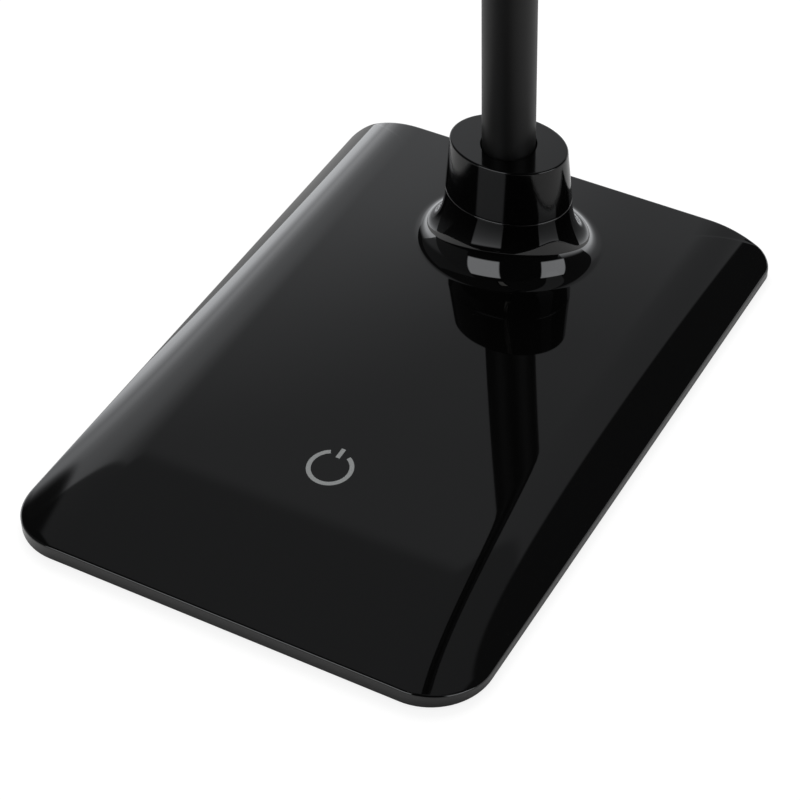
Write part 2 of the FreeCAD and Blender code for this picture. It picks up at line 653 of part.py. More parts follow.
def board_screw_places():
    """Four screws that hold the LED board and the heat spreader to the head."""
    x = LED_BOARD_WIDTH / 2 - BOARD_SCREW_INSET
    y = LED_BOARD_LENGTH / 2 - BOARD_SCREW_INSET
    return [(sx * x, HEAD_MIDDLE + sy * y) for sy in (-1, 1) for sx in (-1, 1)]


def bezel_screw_places():
    """Four screws that hold the bezel."""
    y = HEAD_LENGTH / 2 - HEAD_SCREW_INSET
    return [(sx * BEZEL_SCREW_X, HEAD_MIDDLE + sy * y) for sy in (-1, 1) for sx in (-1, 1)]


def head_housing():
    """Upper shell of the head with its bosses."""
    outer = head_plan(0, HEAD_UNDER, HEAD_TOP)
    outer = outer.makeFillet(HEAD_TOP_ROUND, edges_at(outer, HEAD_TOP))
    hollow = head_plan(HEAD_WALL, HEAD_UNDER, HEAD_ROOF_UNDER)
    hollow = hollow.makeFillet(HEAD_TOP_ROUND - HEAD_WALL, edges_at(hollow, HEAD_ROOF_UNDER))
    boss = SCREW_SHANK_RADIUS + SCREW_BOSS_WALL
    for x, y in bezel_screw_places():
        hollow = hollow.cut(rod(boss, BEZEL_TOP, HEAD_TOP, x, y))
    for x, y in board_screw_places():
        hollow = hollow.cut(rod(boss, SPREADER_TOP, HEAD_TOP, x, y))
    shell = outer.cut(hollow)
    spigot_end = HEAD_REAR - FERRULE_SPIGOT_LENGTH
    shell = shell.cut(lying_rod(FERRULE_SPIGOT_RADIUS, HEAD_REAR + OVERSHOOT, spigot_end))
    for x, y in bezel_screw_places():
        shell = shell.cut(rod(SCREW_SHANK_RADIUS, BEZEL_TOP, HEAD_UNDER + HEAD_SCREW_LENGTH, x, y))
    for x, y in board_screw_places():
        shell = shell.cut(rod(SCREW_SHANK_RADIUS, SPREADER_TOP, HEAD_ROOF_UNDER, x, y))
    return shell


def diffuser_plan(inset, z_low, z_high):
    """Prism on the light window's plan, drawn in by inset."""
    frame = 2 * (HEAD_WALL + BEZEL_FRAME + inset)
    end_frame = frame + 2 * HEAD_SCREW_INSET
    return rounded_prism(
        HEAD_WIDTH - frame, HEAD_LENGTH - end_frame, z_low, z_high,
        HEAD_CORNER - HEAD_WALL - BEZEL_FRAME - inset, HEAD_CORNER - HEAD_WALL - BEZEL_FRAME - inset,
        HEAD_MIDDLE)


def head_bezel():
    """Frame that closes the head and holds the diffuser."""
    frame = head_plan(HEAD_WALL + BEZEL_CLEARANCE, HEAD_UNDER, BEZEL_TOP)
    frame = frame.cut(diffuser_plan(BEZEL_LIP, HEAD_UNDER, BEZEL_TOP))
    frame = frame.cut(diffuser_plan(0, BEZEL_TOP - DIFFUSER_THICKNESS, BEZEL_TOP))
    grow = SCREW_HOLE_CLEARANCE
    for x, y in bezel_screw_places():
        frame = frame.cut(rod(SCREW_SHANK_RADIUS + grow, HEAD_UNDER, BEZEL_TOP, x, y))
        frame = frame.cut(Part.makeCone(
            SCREW_HEAD_RADIUS + grow, SCREW_SHANK_RADIUS + grow, SCREW_HEAD_HEIGHT,
            Vector(x, y, HEAD_UNDER), UP))
    return frame


def diffuser():
    """Frosted window."""
    return diffuser_plan(DIFFUSER_CLEARANCE, BEZEL_TOP - DIFFUSER_THICKNESS, BEZEL_TOP)


def led_board():
    """Aluminium board of the LEDs."""
    board = box(LED_BOARD_WIDTH, LED_BOARD_LENGTH, LED_BOARD_THICKNESS, 0, HEAD_MIDDLE, LED_BOARD_BOTTOM)
    for x, y in board_screw_places():
        board = board.cut(rod(SCREW_SHANK_RADIUS + SCREW_HOLE_CLEARANCE, 0, HEAD_TOP, x, y))
    return board


def leds():
    """Rows of LEDs under the board."""
    width, length, height = LED_SIZE
    pieces = []
    row_pitch = LED_BOARD_WIDTH / LED_ROWS
    column_pitch = (LED_BOARD_LENGTH - 2 * LED_END_MARGIN) / LED_COLUMNS
    for row in range(LED_ROWS):
        for column in range(LED_COLUMNS):
            x = (row - (LED_ROWS - 1) / 2) * row_pitch
            y = HEAD_MIDDLE + (column - (LED_COLUMNS - 1) / 2) * column_pitch
            pieces.append(box(width, length, height, x, y, LED_BOARD_BOTTOM - height))
    return together(pieces)


def heat_spreader():
    """Aluminium tray over the LED board, with its sides turned up."""
    width = LED_BOARD_WIDTH + 2 * SPREADER_OVERHANG
    length = LED_BOARD_LENGTH + 2 * SPREADER_OVERHANG
    tray = box(width, length, SPREADER_FLANGE, 0, HEAD_MIDDLE, LED_BOARD_TOP)
    inside = box(
        width - 2 * SPREADER_THICKNESS, length + OVERSHOOT, SPREADER_FLANGE, 0, HEAD_MIDDLE, SPREADER_TOP)
    tray = tray.cut(inside)
    for x, y in board_screw_places():
        tray = tray.cut(rod(SCREW_SHANK_RADIUS + SCREW_HOLE_CLEARANCE, 0, HEAD_TOP, x, y))
    return tray


def board_screws():
    """Screws that clamp the LED board and the spreader to the head."""
    pieces = []
    for x, y in board_screw_places():
        head_low = LED_BOARD_BOTTOM - SCREW_HEAD_HEIGHT
        head = rod(BOARD_SCREW_HEAD_RADIUS, head_low, LED_BOARD_BOTTOM, x, y)
        shank = rod(SCREW_SHANK_RADIUS, LED_BOARD_BOTTOM, HEAD_ROOF_UNDER, x, y)
        pieces.append(head.fuse(shank).removeSplitter())
    return together(pieces)


def bezel_screws():
    """Countersunk screws of the bezel."""
    pieces = []
    for x, y in bezel_screw_places():
        head = Part.makeCone(
            SCREW_HEAD_RADIUS, SCREW_SHANK_RADIUS, SCREW_HEAD_HEIGHT, Vector(x, y, HEAD_UNDER), UP)
        shank = rod(SCREW_SHANK_RADIUS, HEAD_UNDER, HEAD_UNDER + HEAD_SCREW_LENGTH, x, y)
        pieces.append(head.fuse(shank).removeSplitter())
    return together(pieces)


def led_connector():
    """Two-way connector where the leads meet the LED board."""
    width, length, height = CONNECTOR_SIZE
    return box(width, length, height, 0, CONNECTOR_FACE_Y - length / 2, LED_BOARD_BOTTOM - height)


def save_base():
    """Everything that stays on the desk."""
    save(base_cover(), "base_cover")
    save(power_mark(), "power_mark")
    save(bottom_plate(), "bottom_plate")
    save(ballast_plate(), "ballast_plate")
    save(ballast_rivets(), "ballast_rivets")
    save(anti_slip_pad(), "anti_slip_pad")
    save(together([base_screw(x, y) for x, y in screw_places()]), "base_screws")
    save(touch_board(), "touch_board")
    save(touch_electrode(), "touch_electrode")
    save(board_insulator(), "board_insulator")
    save(control_board(), "control_board")
    save(board_components(), "board_components")
    save(lead_connector(), "lead_connector")
    save(supply_inlet(), "supply_inlet")
    save(collar(), "collar")
    save(neck_anchor(), "neck_anchor")
    save(anchor_washer(), "anchor_washer")
    save(anchor_nut(), "anchor_nut")


def save_head():
    """Everything at the end of the neck."""
    save(head_ferrule(), "head_ferrule")
    save(head_housing(), "head_housing")
    save(head_bezel(), "head_bezel")
    save(diffuser(), "diffuser")
    save(heat_spreader(), "heat_spreader")
    save(led_board(), "led_board")
    save(leds(), "leds")
    save(led_connector(), "led_connector")
    save(board_screws(), "led_board_screws")
    save(bezel_screws(), "bezel_screws")


os.makedirs("parts", exist_ok=True)
save_base()
save_neck()
save_head()
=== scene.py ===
"""Looks of a gooseneck desk lamp with a touch switch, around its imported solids.

Sizes in the classes are millimetres; meshes are written in metres. The origin is the centre
of the base's footprint on the table, +Z is up and the user sits on the -Y side.
"""

import logging
import math
from dataclasses import dataclass
from enum import Enum
from typing import Iterable, Sequence

import bmesh
import bpy
import numpy as np
from mathutils import Matrix, Vector


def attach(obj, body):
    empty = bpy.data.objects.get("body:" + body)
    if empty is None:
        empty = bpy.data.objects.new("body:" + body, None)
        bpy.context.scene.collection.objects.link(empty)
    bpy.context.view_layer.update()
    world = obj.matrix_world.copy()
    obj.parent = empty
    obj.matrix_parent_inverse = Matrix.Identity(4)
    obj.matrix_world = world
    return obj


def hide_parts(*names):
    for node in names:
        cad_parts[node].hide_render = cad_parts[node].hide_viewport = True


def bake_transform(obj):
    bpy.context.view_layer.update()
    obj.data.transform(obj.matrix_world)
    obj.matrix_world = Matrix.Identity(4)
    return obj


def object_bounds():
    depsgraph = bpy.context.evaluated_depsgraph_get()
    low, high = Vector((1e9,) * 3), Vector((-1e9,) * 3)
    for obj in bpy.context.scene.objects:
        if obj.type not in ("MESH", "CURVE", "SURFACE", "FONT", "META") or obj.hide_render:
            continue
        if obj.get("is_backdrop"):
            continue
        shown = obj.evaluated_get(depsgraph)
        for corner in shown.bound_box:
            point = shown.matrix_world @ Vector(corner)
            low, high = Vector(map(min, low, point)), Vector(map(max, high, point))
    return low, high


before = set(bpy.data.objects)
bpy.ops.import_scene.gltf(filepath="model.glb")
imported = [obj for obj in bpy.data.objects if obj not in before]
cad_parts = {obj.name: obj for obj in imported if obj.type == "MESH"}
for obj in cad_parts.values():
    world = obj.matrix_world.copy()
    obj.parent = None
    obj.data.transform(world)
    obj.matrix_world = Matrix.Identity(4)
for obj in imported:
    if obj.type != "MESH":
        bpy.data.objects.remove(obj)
CAD_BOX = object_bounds()
MM = 0.001
TINY = 1e-12
WELD_M = 1e-7
TURN_POINTS = 96
LOG = logging.getLogger("lamp")
Piece = bpy.types.Object
Socket = bpy.types.NodeSocket
Triple = tuple[float, float, float]


# Nodes and meshes


class Nodes:
    """Writes the nodes of one tree."""

    def __init__(self, tree: bpy.types.NodeTree) -> None:
        """Take the tree of a material, a world or a node group."""
        self.tree = tree

    def add(
        self, kind: str, inputs: dict[str | int, object] | None = None, **settings: object
    ) -> bpy.types.Node:
        """Add one node and connect it.

        Args:
            kind: Blender's identifier of the node.
            inputs: by socket name or number, an output socket to link from, or a plain value.
            settings: the node's own properties.

        Returns:
            The new node.
        """
        node = self.tree.nodes.new(kind)
        for key, value in settings.items():
            setattr(node, key, value)
        for key, value in (inputs or {}).items():
            if isinstance(value, Socket):
                self.tree.links.new(value, node.inputs[key])
            else:
                node.inputs[key].default_value = value
        return node

    def out(
        self, kind: str, inputs: dict[str | int, object] | None = None, output: str | int = 0,
        **settings: object,
    ) -> Socket:
        """Add one node like add, and return one of its outputs."""
        return self.add(kind, inputs, **settings).outputs[output]

    def calculate(self, operation: str, first: Socket | float, second: Socket | float) -> Socket:
        """Calculate with two values."""
        return self.out("ShaderNodeMath", {0: first, 1: second}, operation=operation)

    def step(self, value: Socket, low: float, high: float, kind: str = "SMOOTHSTEP") -> Socket:
        """Map a range of a value to 0 to 1."""
        ends = {"Value": value, "From Min": low, "From Max": high}
        return self.out("ShaderNodeMapRange", ends, interpolation_type=kind)

    def dot(self, direction: Socket, other: Triple) -> Socket:
        """Scalar product of a direction and a vector."""
        inputs = {0: direction, 1: other}
        return self.out("ShaderNodeVectorMath", inputs, "Value", operation="DOT_PRODUCT")

    def choose(self, share: Socket, first: Socket, second: Socket) -> Socket:
        """Mix two shaders."""
        return self.out("ShaderNodeMixShader", {0: share, 1: first, 2: second})


def new_material(name: str) -> tuple[bpy.types.Material, Nodes]:
    """Start a material without nodes."""
    material = bpy.data.materials.new(name)
    material.use_nodes = True
    material.node_tree.nodes.clear()
    return material, Nodes(material.node_tree)


def linear(colour: str) -> tuple[float, float, float, float]:
    """Turn six hex digits of an sRGB colour into linear values with full opacity."""
    shares = [int(colour[start : start + 2], 16) / 255 for start in (0, 2, 4)]
    values = [s / 12.92 if s <= 0.04045 else ((s + 0.055) / 1.055) ** 2.4 for s in shares]
    return values[0], values[1], values[2], 1.0


def geometry_nodes(name: str, inputs: dict[str, str]) -> tuple[Nodes, bpy.types.NodeOutputs]:
    """Start a tree that turns a mesh into another one.

    Args:
        name: name of the tree.
        inputs: kind of each further input by its name.

    Returns:
        The tree's nodes and the sockets of its inputs.
    """
    tree = bpy.data.node_groups.new(name, "GeometryNodeTree")
    for key, kind in {"Geometry": "Geometry", **inputs}.items():
        tree.interface.new_socket(key, in_out="INPUT", socket_type=f"NodeSocket{kind}")
    tree.interface.new_socket("Geometry", in_out="OUTPUT", socket_type="NodeSocketGeometry")
    nodes = Nodes(tree)
    return nodes, nodes.add("NodeGroupInput").outputs


def end_geometry(nodes: Nodes, geometry: Socket, finish: Socket) -> None:
    """End a tree with its real geometry in one finish."""
    real = nodes.out("GeometryNodeRealizeInstances", {"Geometry": geometry})
    dressed = nodes.out("GeometryNodeSetMaterial", {"Geometry": real, "Material": finish})
    nodes.add("NodeGroupOutput", {"Geometry": dressed})


def new_object(name: str, mesh: bpy.types.Mesh) -> Piece:
    """Put a mesh in metres into the scene as an object of the same name at the origin."""
    mesh.name = name
    piece = bpy.data.objects.new(name, mesh)
    bpy.context.scene.collection.objects.link(piece)
    return piece


def apply_modifiers(piece: Piece) -> None:
    """Replace a piece's mesh with what its modifiers make of it."""
    bpy.context.view_layer.update()
    graph = bpy.context.evaluated_depsgraph_get()
    mesh = bpy.data.meshes.new_from_object(piece.evaluated_get(graph))
    piece.modifiers.clear()
    piece.data = mesh
    mesh.name = piece.name


def grow(
    name: str, points: Sequence[Triple], edges: Sequence[tuple[int, int]], nodes: Nodes,
    values: dict[str, object],
) -> Piece:
    """Make a piece from points and edges with a node tree.

    Args:
        name: name of the piece.
        points: points in metres.
        edges: pairs of their numbers.
        nodes: nodes of the tree.
        values: the tree's further inputs by name.

    Returns:
        The piece.
    """
    mesh = bpy.data.meshes.new(name)
    mesh.from_pydata(points, edges, [])
    piece = new_object(name, mesh)
    modifier = piece.modifiers.new("nodes", "NODES")
    modifier.node_group = nodes.tree
    for item in nodes.tree.interface.items_tree:
        if item.item_type == "SOCKET" and item.in_out == "INPUT" and item.name in values:
            modifier[item.identifier] = values[item.name]
    apply_modifiers(piece)
    return piece


def area_vector(places: np.ndarray) -> np.ndarray:
    """Normal of a flat face, as long as twice its area."""
    return np.cross(places, np.roll(places, -1, axis=0)).sum(axis=0)


class RingMesh:
    """Mesh of closed rings with the same number of points, one beside the other.

    Rings that go outwards on a top face and turn anticlockwise seen from above give faces
    that point up. Each strip of rings shades smoothly by itself and creases at its two ends.
    """

    def __init__(self) -> None:
        """Start without points."""
        self.points: list[np.ndarray] = []
        self.faces: list[tuple[int, ...]] = []
        self.normals: list[np.ndarray] = []
        self.first: list[int] = []
        self.last: list[int] = []

    def add_points(self, points: np.ndarray) -> list[int]:
        """Add points and return their numbers."""
        start = len(self.points)
        self.points.extend(np.asarray(points, float))
        return list(range(start, len(self.points)))

    def places(self, numbers: Sequence[int]) -> np.ndarray:
        """Places of points by their numbers."""
        return np.array([self.points[number] for number in numbers])

    def add_face(self, corners: Sequence[int], normals: Sequence[np.ndarray] | None = None) -> None:
        """Add a face by its points' numbers; without a normal for each it is flat."""
        if normals is None:
            flat = area_vector(self.places(corners))
            normals = [flat / max(np.linalg.norm(flat), TINY)] * len(corners)
        self.faces.append(tuple(corners))
        self.normals.extend(normals)

    def strip(
        self,
        rings: Sequence[np.ndarray],
        smooth: bool = True,
        closing: bool = False,
        opening: tuple[int, int] | None = None,
    ) -> list[list[int]]:
        """Add a strip of rings after the last one.

        Args:
            rings: the rings; the first one repeats the mesh's last one.
            smooth: shade the strip as one curved face.
            closing: the strip's last ring is the mesh's first one.
            opening: range of columns that stay open.

        Returns:
            The numbers of each ring's points.
        """
        rows = []
        for index, ring in enumerate(rings):
            if index == 0 and self.last:
                rows.append(self.last)
            elif index == len(rings) - 1 and closing:
                rows.append(self.first)
            else:
                rows.append(self.add_points(ring))
        self.first = self.first or rows[0]
        self.last = rows[-1]
        normals = ring_normals(np.asarray(rings, float)) if smooth else None
        count = len(rows[0])
        for k in range(len(rows) - 1):
            for j in range(count):
                if opening and opening[0] <= j < opening[1]:
                    continue
                n = (j + 1) % count
                spots = ((k, j), (k + 1, j), (k + 1, n), (k, n))
                corners = [rows[row][column] for row, column in spots]
                self.add_face(corners, None if normals is None else [normals[s] for s in spots])
        return rows

    def bands(self, *rings: np.ndarray) -> None:
        """Add unsmoothed strips with a crease at each ring."""
        for pair in zip(rings[:-1], rings[1:]):
            self.strip(pair, smooth=False)

    def close_ends(self) -> None:
        """Close the first and the last ring with one flat face each."""
        self.add_face(self.first)
        self.add_face(self.last[::-1])

    def holed_patch(self, border: Sequence[int], hole: Sequence[int], facing: Triple) -> None:
        """Fill a flat upright patch round a hole, with triangles from one loop to the other.

        Args:
            border: numbers of the patch's outer points.
            hole: numbers of the hole's points.
            facing: side that the patch faces.
        """
        normal = np.array(facing)
        middle = self.places(hole).mean(axis=0)
        along = np.cross(normal, (0.0, 0.0, 1.0))
        across = np.cross(normal, along)
        loops = []
        for loop in (border, hole):
            offsets = self.places(loop) - middle
            order = np.argsort(np.arctan2(offsets @ across, offsets @ along))
            loops.append([loop[k] for k in order])
        outer, inner = loops
        gaps = np.linalg.norm(self.places(inner) - self.points[outer[0]], axis=1)
        nearest = int(np.argmin(gaps))
        inner = inner[nearest:] + inner[:nearest]
        outer, inner = outer + outer[:1], inner + inner[:1]
        i = j = 0
        while i < len(border) or j < len(hole):
            on_border = j == len(hole)
            if i < len(border) and j < len(hole):
                ahead = self.points[outer[i + 1]] - self.points[inner[j]]
                back = self.points[outer[i]] - self.points[inner[j + 1]]
                on_border = bool(ahead @ ahead <= back @ back)
            if on_border:
                corners = (outer[i], outer[i + 1], inner[j])
                i += 1
            else:
                corners = (outer[i], inner[j + 1], inner[j])
                j += 1
            self.add_face(corners, [normal] * 3)

    def turn_out(self) -> None:
        """Turn every face over if the mesh is inside out."""
        rings = [self.places(face) for face in self.faces]
        if sum(float(places[0] @ area_vector(places)) for places in rings) > 0:
            return
        start, normals = 0, []
        for face in self.faces:
            end = start + len(face)
            normals.extend(-np.asarray(normal) for normal in reversed(self.normals[start:end]))
            start = end
        self.faces = [face[::-1] for face in self.faces]
        self.normals = normals

    def build(self, name: str) -> Piece:
        """Make the object of a name, in metres, with the mesh's own normals."""
        self.turn_out()
        mesh = bpy.data.meshes.new(name)
        mesh.from_pydata([tuple(point * MM) for point in self.points], [], self.faces)
        mesh.polygons.foreach_set("use_smooth", [True] * len(self.faces))
        mesh.normals_split_custom_set([tuple(normal) for normal in self.normals])
        mesh.update()
        return new_object(name, mesh)


def ring_normals(rings: np.ndarray) -> np.ndarray:
    """One unit normal for each point of a strip of closed rings."""
    along = np.gradient(rings, axis=0)
    around = np.roll(rings, -1, axis=1) - np.roll(rings, 1, axis=1)
    normals = np.cross(along, around)
    return normals / np.maximum(np.linalg.norm(normals, axis=2, keepdims=True), TINY)


def even_shares(steps: int) -> np.ndarray:
    """Shares from 0 to 1 at even steps, to multiply rings with."""
    return np.linspace(0.0, 1.0, steps + 1)[:, None, None]


def bezier(start: np.ndarray, corner: np.ndarray, end: np.ndarray, steps: int) -> np.ndarray:
    """Round a corner with a curve that is tangent to both of its sides.

    Args:
        start: ring where the rounding starts.
        corner: ring of the sharp corner.
        end: ring where it ends.
        steps: number of faces across the rounding.

    Returns:
        The rings from start to end.
    """
    shares = even_shares(steps)
    return (1 - shares) ** 2 * start + 2 * shares * (1 - shares) * corner + shares**2 * end


def lerp_rings(start: np.ndarray, end: np.ndarray, steps: int) -> np.ndarray:
    """Rings at even steps between two rings."""
    shares = even_shares(steps)
    return (1 - shares) * start + shares * end


def lifted(plan: np.ndarray, height: float | np.ndarray) -> np.ndarray:
    """Give a plan ring its height."""
    return np.column_stack([plan, np.broadcast_to(height, len(plan))])


def circle_angles(count: int) -> np.ndarray:
    """Evenly spaced directions, anticlockwise."""
    return np.linspace(0.0, 2 * math.pi, count, endpoint=False)


def oval(half_x: float, half_y: float, count: int, y: float = 0.0) -> np.ndarray:
    """Plan points of an ellipse on the middle line, anticlockwise."""
    angles = circle_angles(count)
    return np.column_stack([half_x * np.cos(angles), y + half_y * np.sin(angles)])


def upright_circle(radius: float, y: float, height: float = 0.0) -> np.ndarray:
    """Circle round an axis that lies along the lamp."""
    angles = circle_angles(TURN_POINTS)
    return np.column_stack(
        [radius * np.sin(angles), np.full(TURN_POINTS, y), height + radius * np.cos(angles)])


def turned(name: str, profile: Sequence[tuple[float, float, bool]], height: float) -> Piece:
    """Turn a closed profile about an axis that lies along the lamp.

    Args:
        name: name of the piece.
        profile: radius and place along the axis, going round the solid, and whether the
            surface creases at that point.
        height: height of the axis.

    Returns:
        The piece.
    """
    solid = RingMesh()
    rings = [upright_circle(radius, y, height) for radius, y, _ in (*profile, profile[0])]
    creases = [0] + [k for k, point in enumerate(profile) if k and point[2]] + [len(profile)]
    for start, end in zip(creases[:-1], creases[1:]):
        solid.strip(rings[start : end + 1], closing=end == len(profile))
    return solid.build(name)


def carve(piece: Piece, cutters: Sequence[Piece]) -> Piece:
    """Cut holes into a piece.

    Args:
        piece: piece to cut.
        cutters: objects to cut with, removed afterwards.

    Returns:
        The piece.
    """
    for cutter in cutters:
        modifier = piece.modifiers.new("hole", "BOOLEAN")
        modifier.object = cutter
        modifier.operation = "DIFFERENCE"
        modifier.solver = "EXACT"
    apply_modifiers(piece)
    work = bmesh.new()
    work.from_mesh(piece.data)
    bmesh.ops.remove_doubles(work, verts=work.verts, dist=WELD_M)
    work.to_mesh(piece.data)
    work.free()
    for cutter in cutters:
        bpy.data.objects.remove(cutter)
    return piece


@dataclass(frozen=True)
class RoundedPlan:
    """Rectangle with rounded corners, seen from above."""

    half_width: float
    front: float
    back: float
    front_radius: float
    back_radius: float
    steps: tuple[int, int, int, int] | None = None
    corner_steps: int = 18
    spacing: float = 1.5
    least_radius: float = 0.3

    def ring(self, inset: float = 0.0) -> np.ndarray:
        """Points of the outline moved inwards, anticlockwise from the front right corner.

        Args:
            inset: distance from the outline.

        Returns:
            Plan points; their number doesn't depend on the inset.
        """
        x, f, b = self.half_width, self.front, self.back
        corners = (
            (x - self.front_radius, f + self.front_radius, self.front_radius, -90.0),
            (x - self.back_radius, b - self.back_radius, self.back_radius, 0.0),
            (-x + self.back_radius, b - self.back_radius, self.back_radius, 90.0),
            (-x + self.front_radius, f + self.front_radius, self.front_radius, 180.0),
        )
        arcs = []
        for centre_x, centre_y, radius, start in corners:
            reduced = max(radius - inset, self.least_radius)
            slip = radius - inset - reduced
            angles = np.radians(np.linspace(start, start + 90.0, self.corner_steps + 1))
            middle = math.radians(start + 45.0)
            shift = slip * math.sqrt(2.0) * np.array([math.cos(middle), math.sin(middle)])
            arc = np.column_stack([np.cos(angles), np.sin(angles)]) * reduced
            arcs.append(arc + np.array([centre_x, centre_y]) + shift)
        pieces = []
        for index, arc in enumerate(arcs):
            following = arcs[(index + 1) % 4][0]
            shares = np.linspace(0.0, 1.0, self.straight_steps[index] + 1)[1:-1, None]
            pieces += [arc, arc[-1] * (1 - shares) + following * shares]
        return np.vstack(pieces)

    def at(self, height: float, inset: float = 0.0) -> np.ndarray:
        """The outline moved inwards, at a height."""
        return lifted(self.ring(inset), height)

    @property
    def straight_steps(self) -> tuple[int, ...]:
        """Number of steps along the right, back, left and front sides."""
        if self.steps:
            return self.steps
        side = self.back - self.front - self.front_radius - self.back_radius
        back = 2 * (self.half_width - self.back_radius)
        front = 2 * (self.half_width - self.front_radius)
        return tuple(max(2, round(length / self.spacing)) for length in (side, back, side, front))


# Finishes


class Grain(Enum):
    """Pattern that breaks up a finish."""

    SPECKLE = "speckle"
    CELLS = "cells"
    BRUSHED = "brushed"


@dataclass(frozen=True)
class Finish:
    """One material: what it is, how it was made and what its surface shows."""

    name: str
    colour: str
    roughness: float
    grain: Grain
    grain_mm: float
    relief_mm: float
    colour_change: float = 0.0
    roughness_change: float = 0.0
    metallic: float = 0.0
    ior: float = 1.5
    brush_stretch: float = 0.02

    def build(self) -> bpy.types.Material:
        """Make the material once and return it."""
        found = bpy.data.materials.get(self.name)
        if found:
            return found
        material, nodes = new_material(self.name)
        pattern = self.pattern(nodes)
        base = linear(self.colour)
        values: dict[str | int, object] = {
            "Metallic": self.metallic, "Base Color": base, "Roughness": self.roughness}
        if self.metallic < 1.0:
            values["IOR"] = self.ior
        if self.colour_change:
            low, high = (
                tuple(min(1.0, c * factor) for c in base[:3]) + (1.0,)
                for factor in (1 - self.colour_change, 1 + self.colour_change))
            values["Base Color"] = nodes.out(
                "ShaderNodeMix", {0: pattern, 6: low, 7: high}, 2, data_type="RGBA")
        if self.roughness_change:
            values["Roughness"] = nodes.out("ShaderNodeMapRange", {
                "Value": pattern,
                "To Min": max(0.0, self.roughness - self.roughness_change),
                "To Max": min(1.0, self.roughness + self.roughness_change)})
        values["Normal"] = nodes.out(
            "ShaderNodeBump", {"Height": pattern, "Distance": self.relief_mm * MM, "Strength": 1.0})
        shader = nodes.out("ShaderNodeBsdfPrincipled", values)
        nodes.add("ShaderNodeOutputMaterial", {"Surface": shader})
        return material

    def pattern(self, nodes: Nodes) -> Socket:
        """Add the finish's pattern at its real size and return its value, from 0 to 1."""
        place = nodes.out("ShaderNodeTexCoord", output="Object")
        scale = 1.0 / (self.grain_mm * MM)
        if self.grain is Grain.CELLS:
            return nodes.out("ShaderNodeTexVoronoi", {"Vector": place, "Scale": scale})
        if self.grain is Grain.BRUSHED:
            stretch = (1.0, self.brush_stretch, 1.0)
            place = nodes.out("ShaderNodeMapping", {"Vector": place, "Scale": stretch})
        return nodes.out("ShaderNodeTexNoise", {"Vector": place, "Scale": scale, "Detail": 2.0})


# Injection moulded ABS from a polished tool: black that mirrors the room, faintly wavy
GLOSS_COVER = Finish(
    "abs_moulded_gloss_cover", "040404", 0.03, Grain.SPECKLE, 14.0, 0.0004, roughness_change=0.006)
# The same ABS on the small upright mouldings
GLOSS_COLLAR = Finish(
    "abs_moulded_gloss_collar", "040404", 0.09, Grain.SPECKLE, 6.0, 0.0004, ior=1.4,
    roughness_change=0.01)
GLOSS_HEAD = Finish(
    "abs_moulded_gloss_head", "050505", 0.04, Grain.SPECKLE, 14.0, 0.0004, roughness_change=0.008)
# Pad printed ink: a flat light grey without gloss
MARK_INK = Finish("ink_pad_printed", "848686", 0.5, Grain.SPECKLE, 0.12, 0.002, colour_change=0.05)
# Silicone sleeve, extruded: satin black that softens every reflection
SLEEVE = Finish(
    "silicone_extruded_sleeve", "0B0B0B", 0.45, Grain.SPECKLE, 0.35, 0.003, ior=1.38,
    roughness_change=0.04)
# Moulded rubber: matt black with a fine grain
PAD_RUBBER = Finish(
    "rubber_moulded_pad", "262626", 0.85, Grain.CELLS, 0.6, 0.03, roughness_change=0.06)
# Satin lacquer on brass: even black with a soft highlight
FERRULE_LACQUER = Finish(
    "brass_lacquered_satin", "0D0D0D", 0.34, Grain.SPECKLE, 0.4, 0.001, roughness_change=0.05)
# ABS from a spark eroded tool: matt, finely grained
BEZEL_TEXTURE = Finish(
    "abs_moulded_textured", "161616", 0.55, Grain.CELLS, 0.35, 0.012, roughness_change=0.08)
# Opal acrylic, frosted on the outside: milky white
DIFFUSER_OPAL = Finish(
    "acrylic_cast_opal", "F1F0EC", 0.5, Grain.SPECKLE, 0.5, 0.002, ior=1.49, roughness_change=0.05)
# Zinc plated steel: pale bluish metal
FASTENER_STEEL = Finish(
    "steel_zinc_plated", "B9BCC0", 0.32, Grain.SPECKLE, 0.5, 0.002, metallic=1.0,
    roughness_change=0.06)

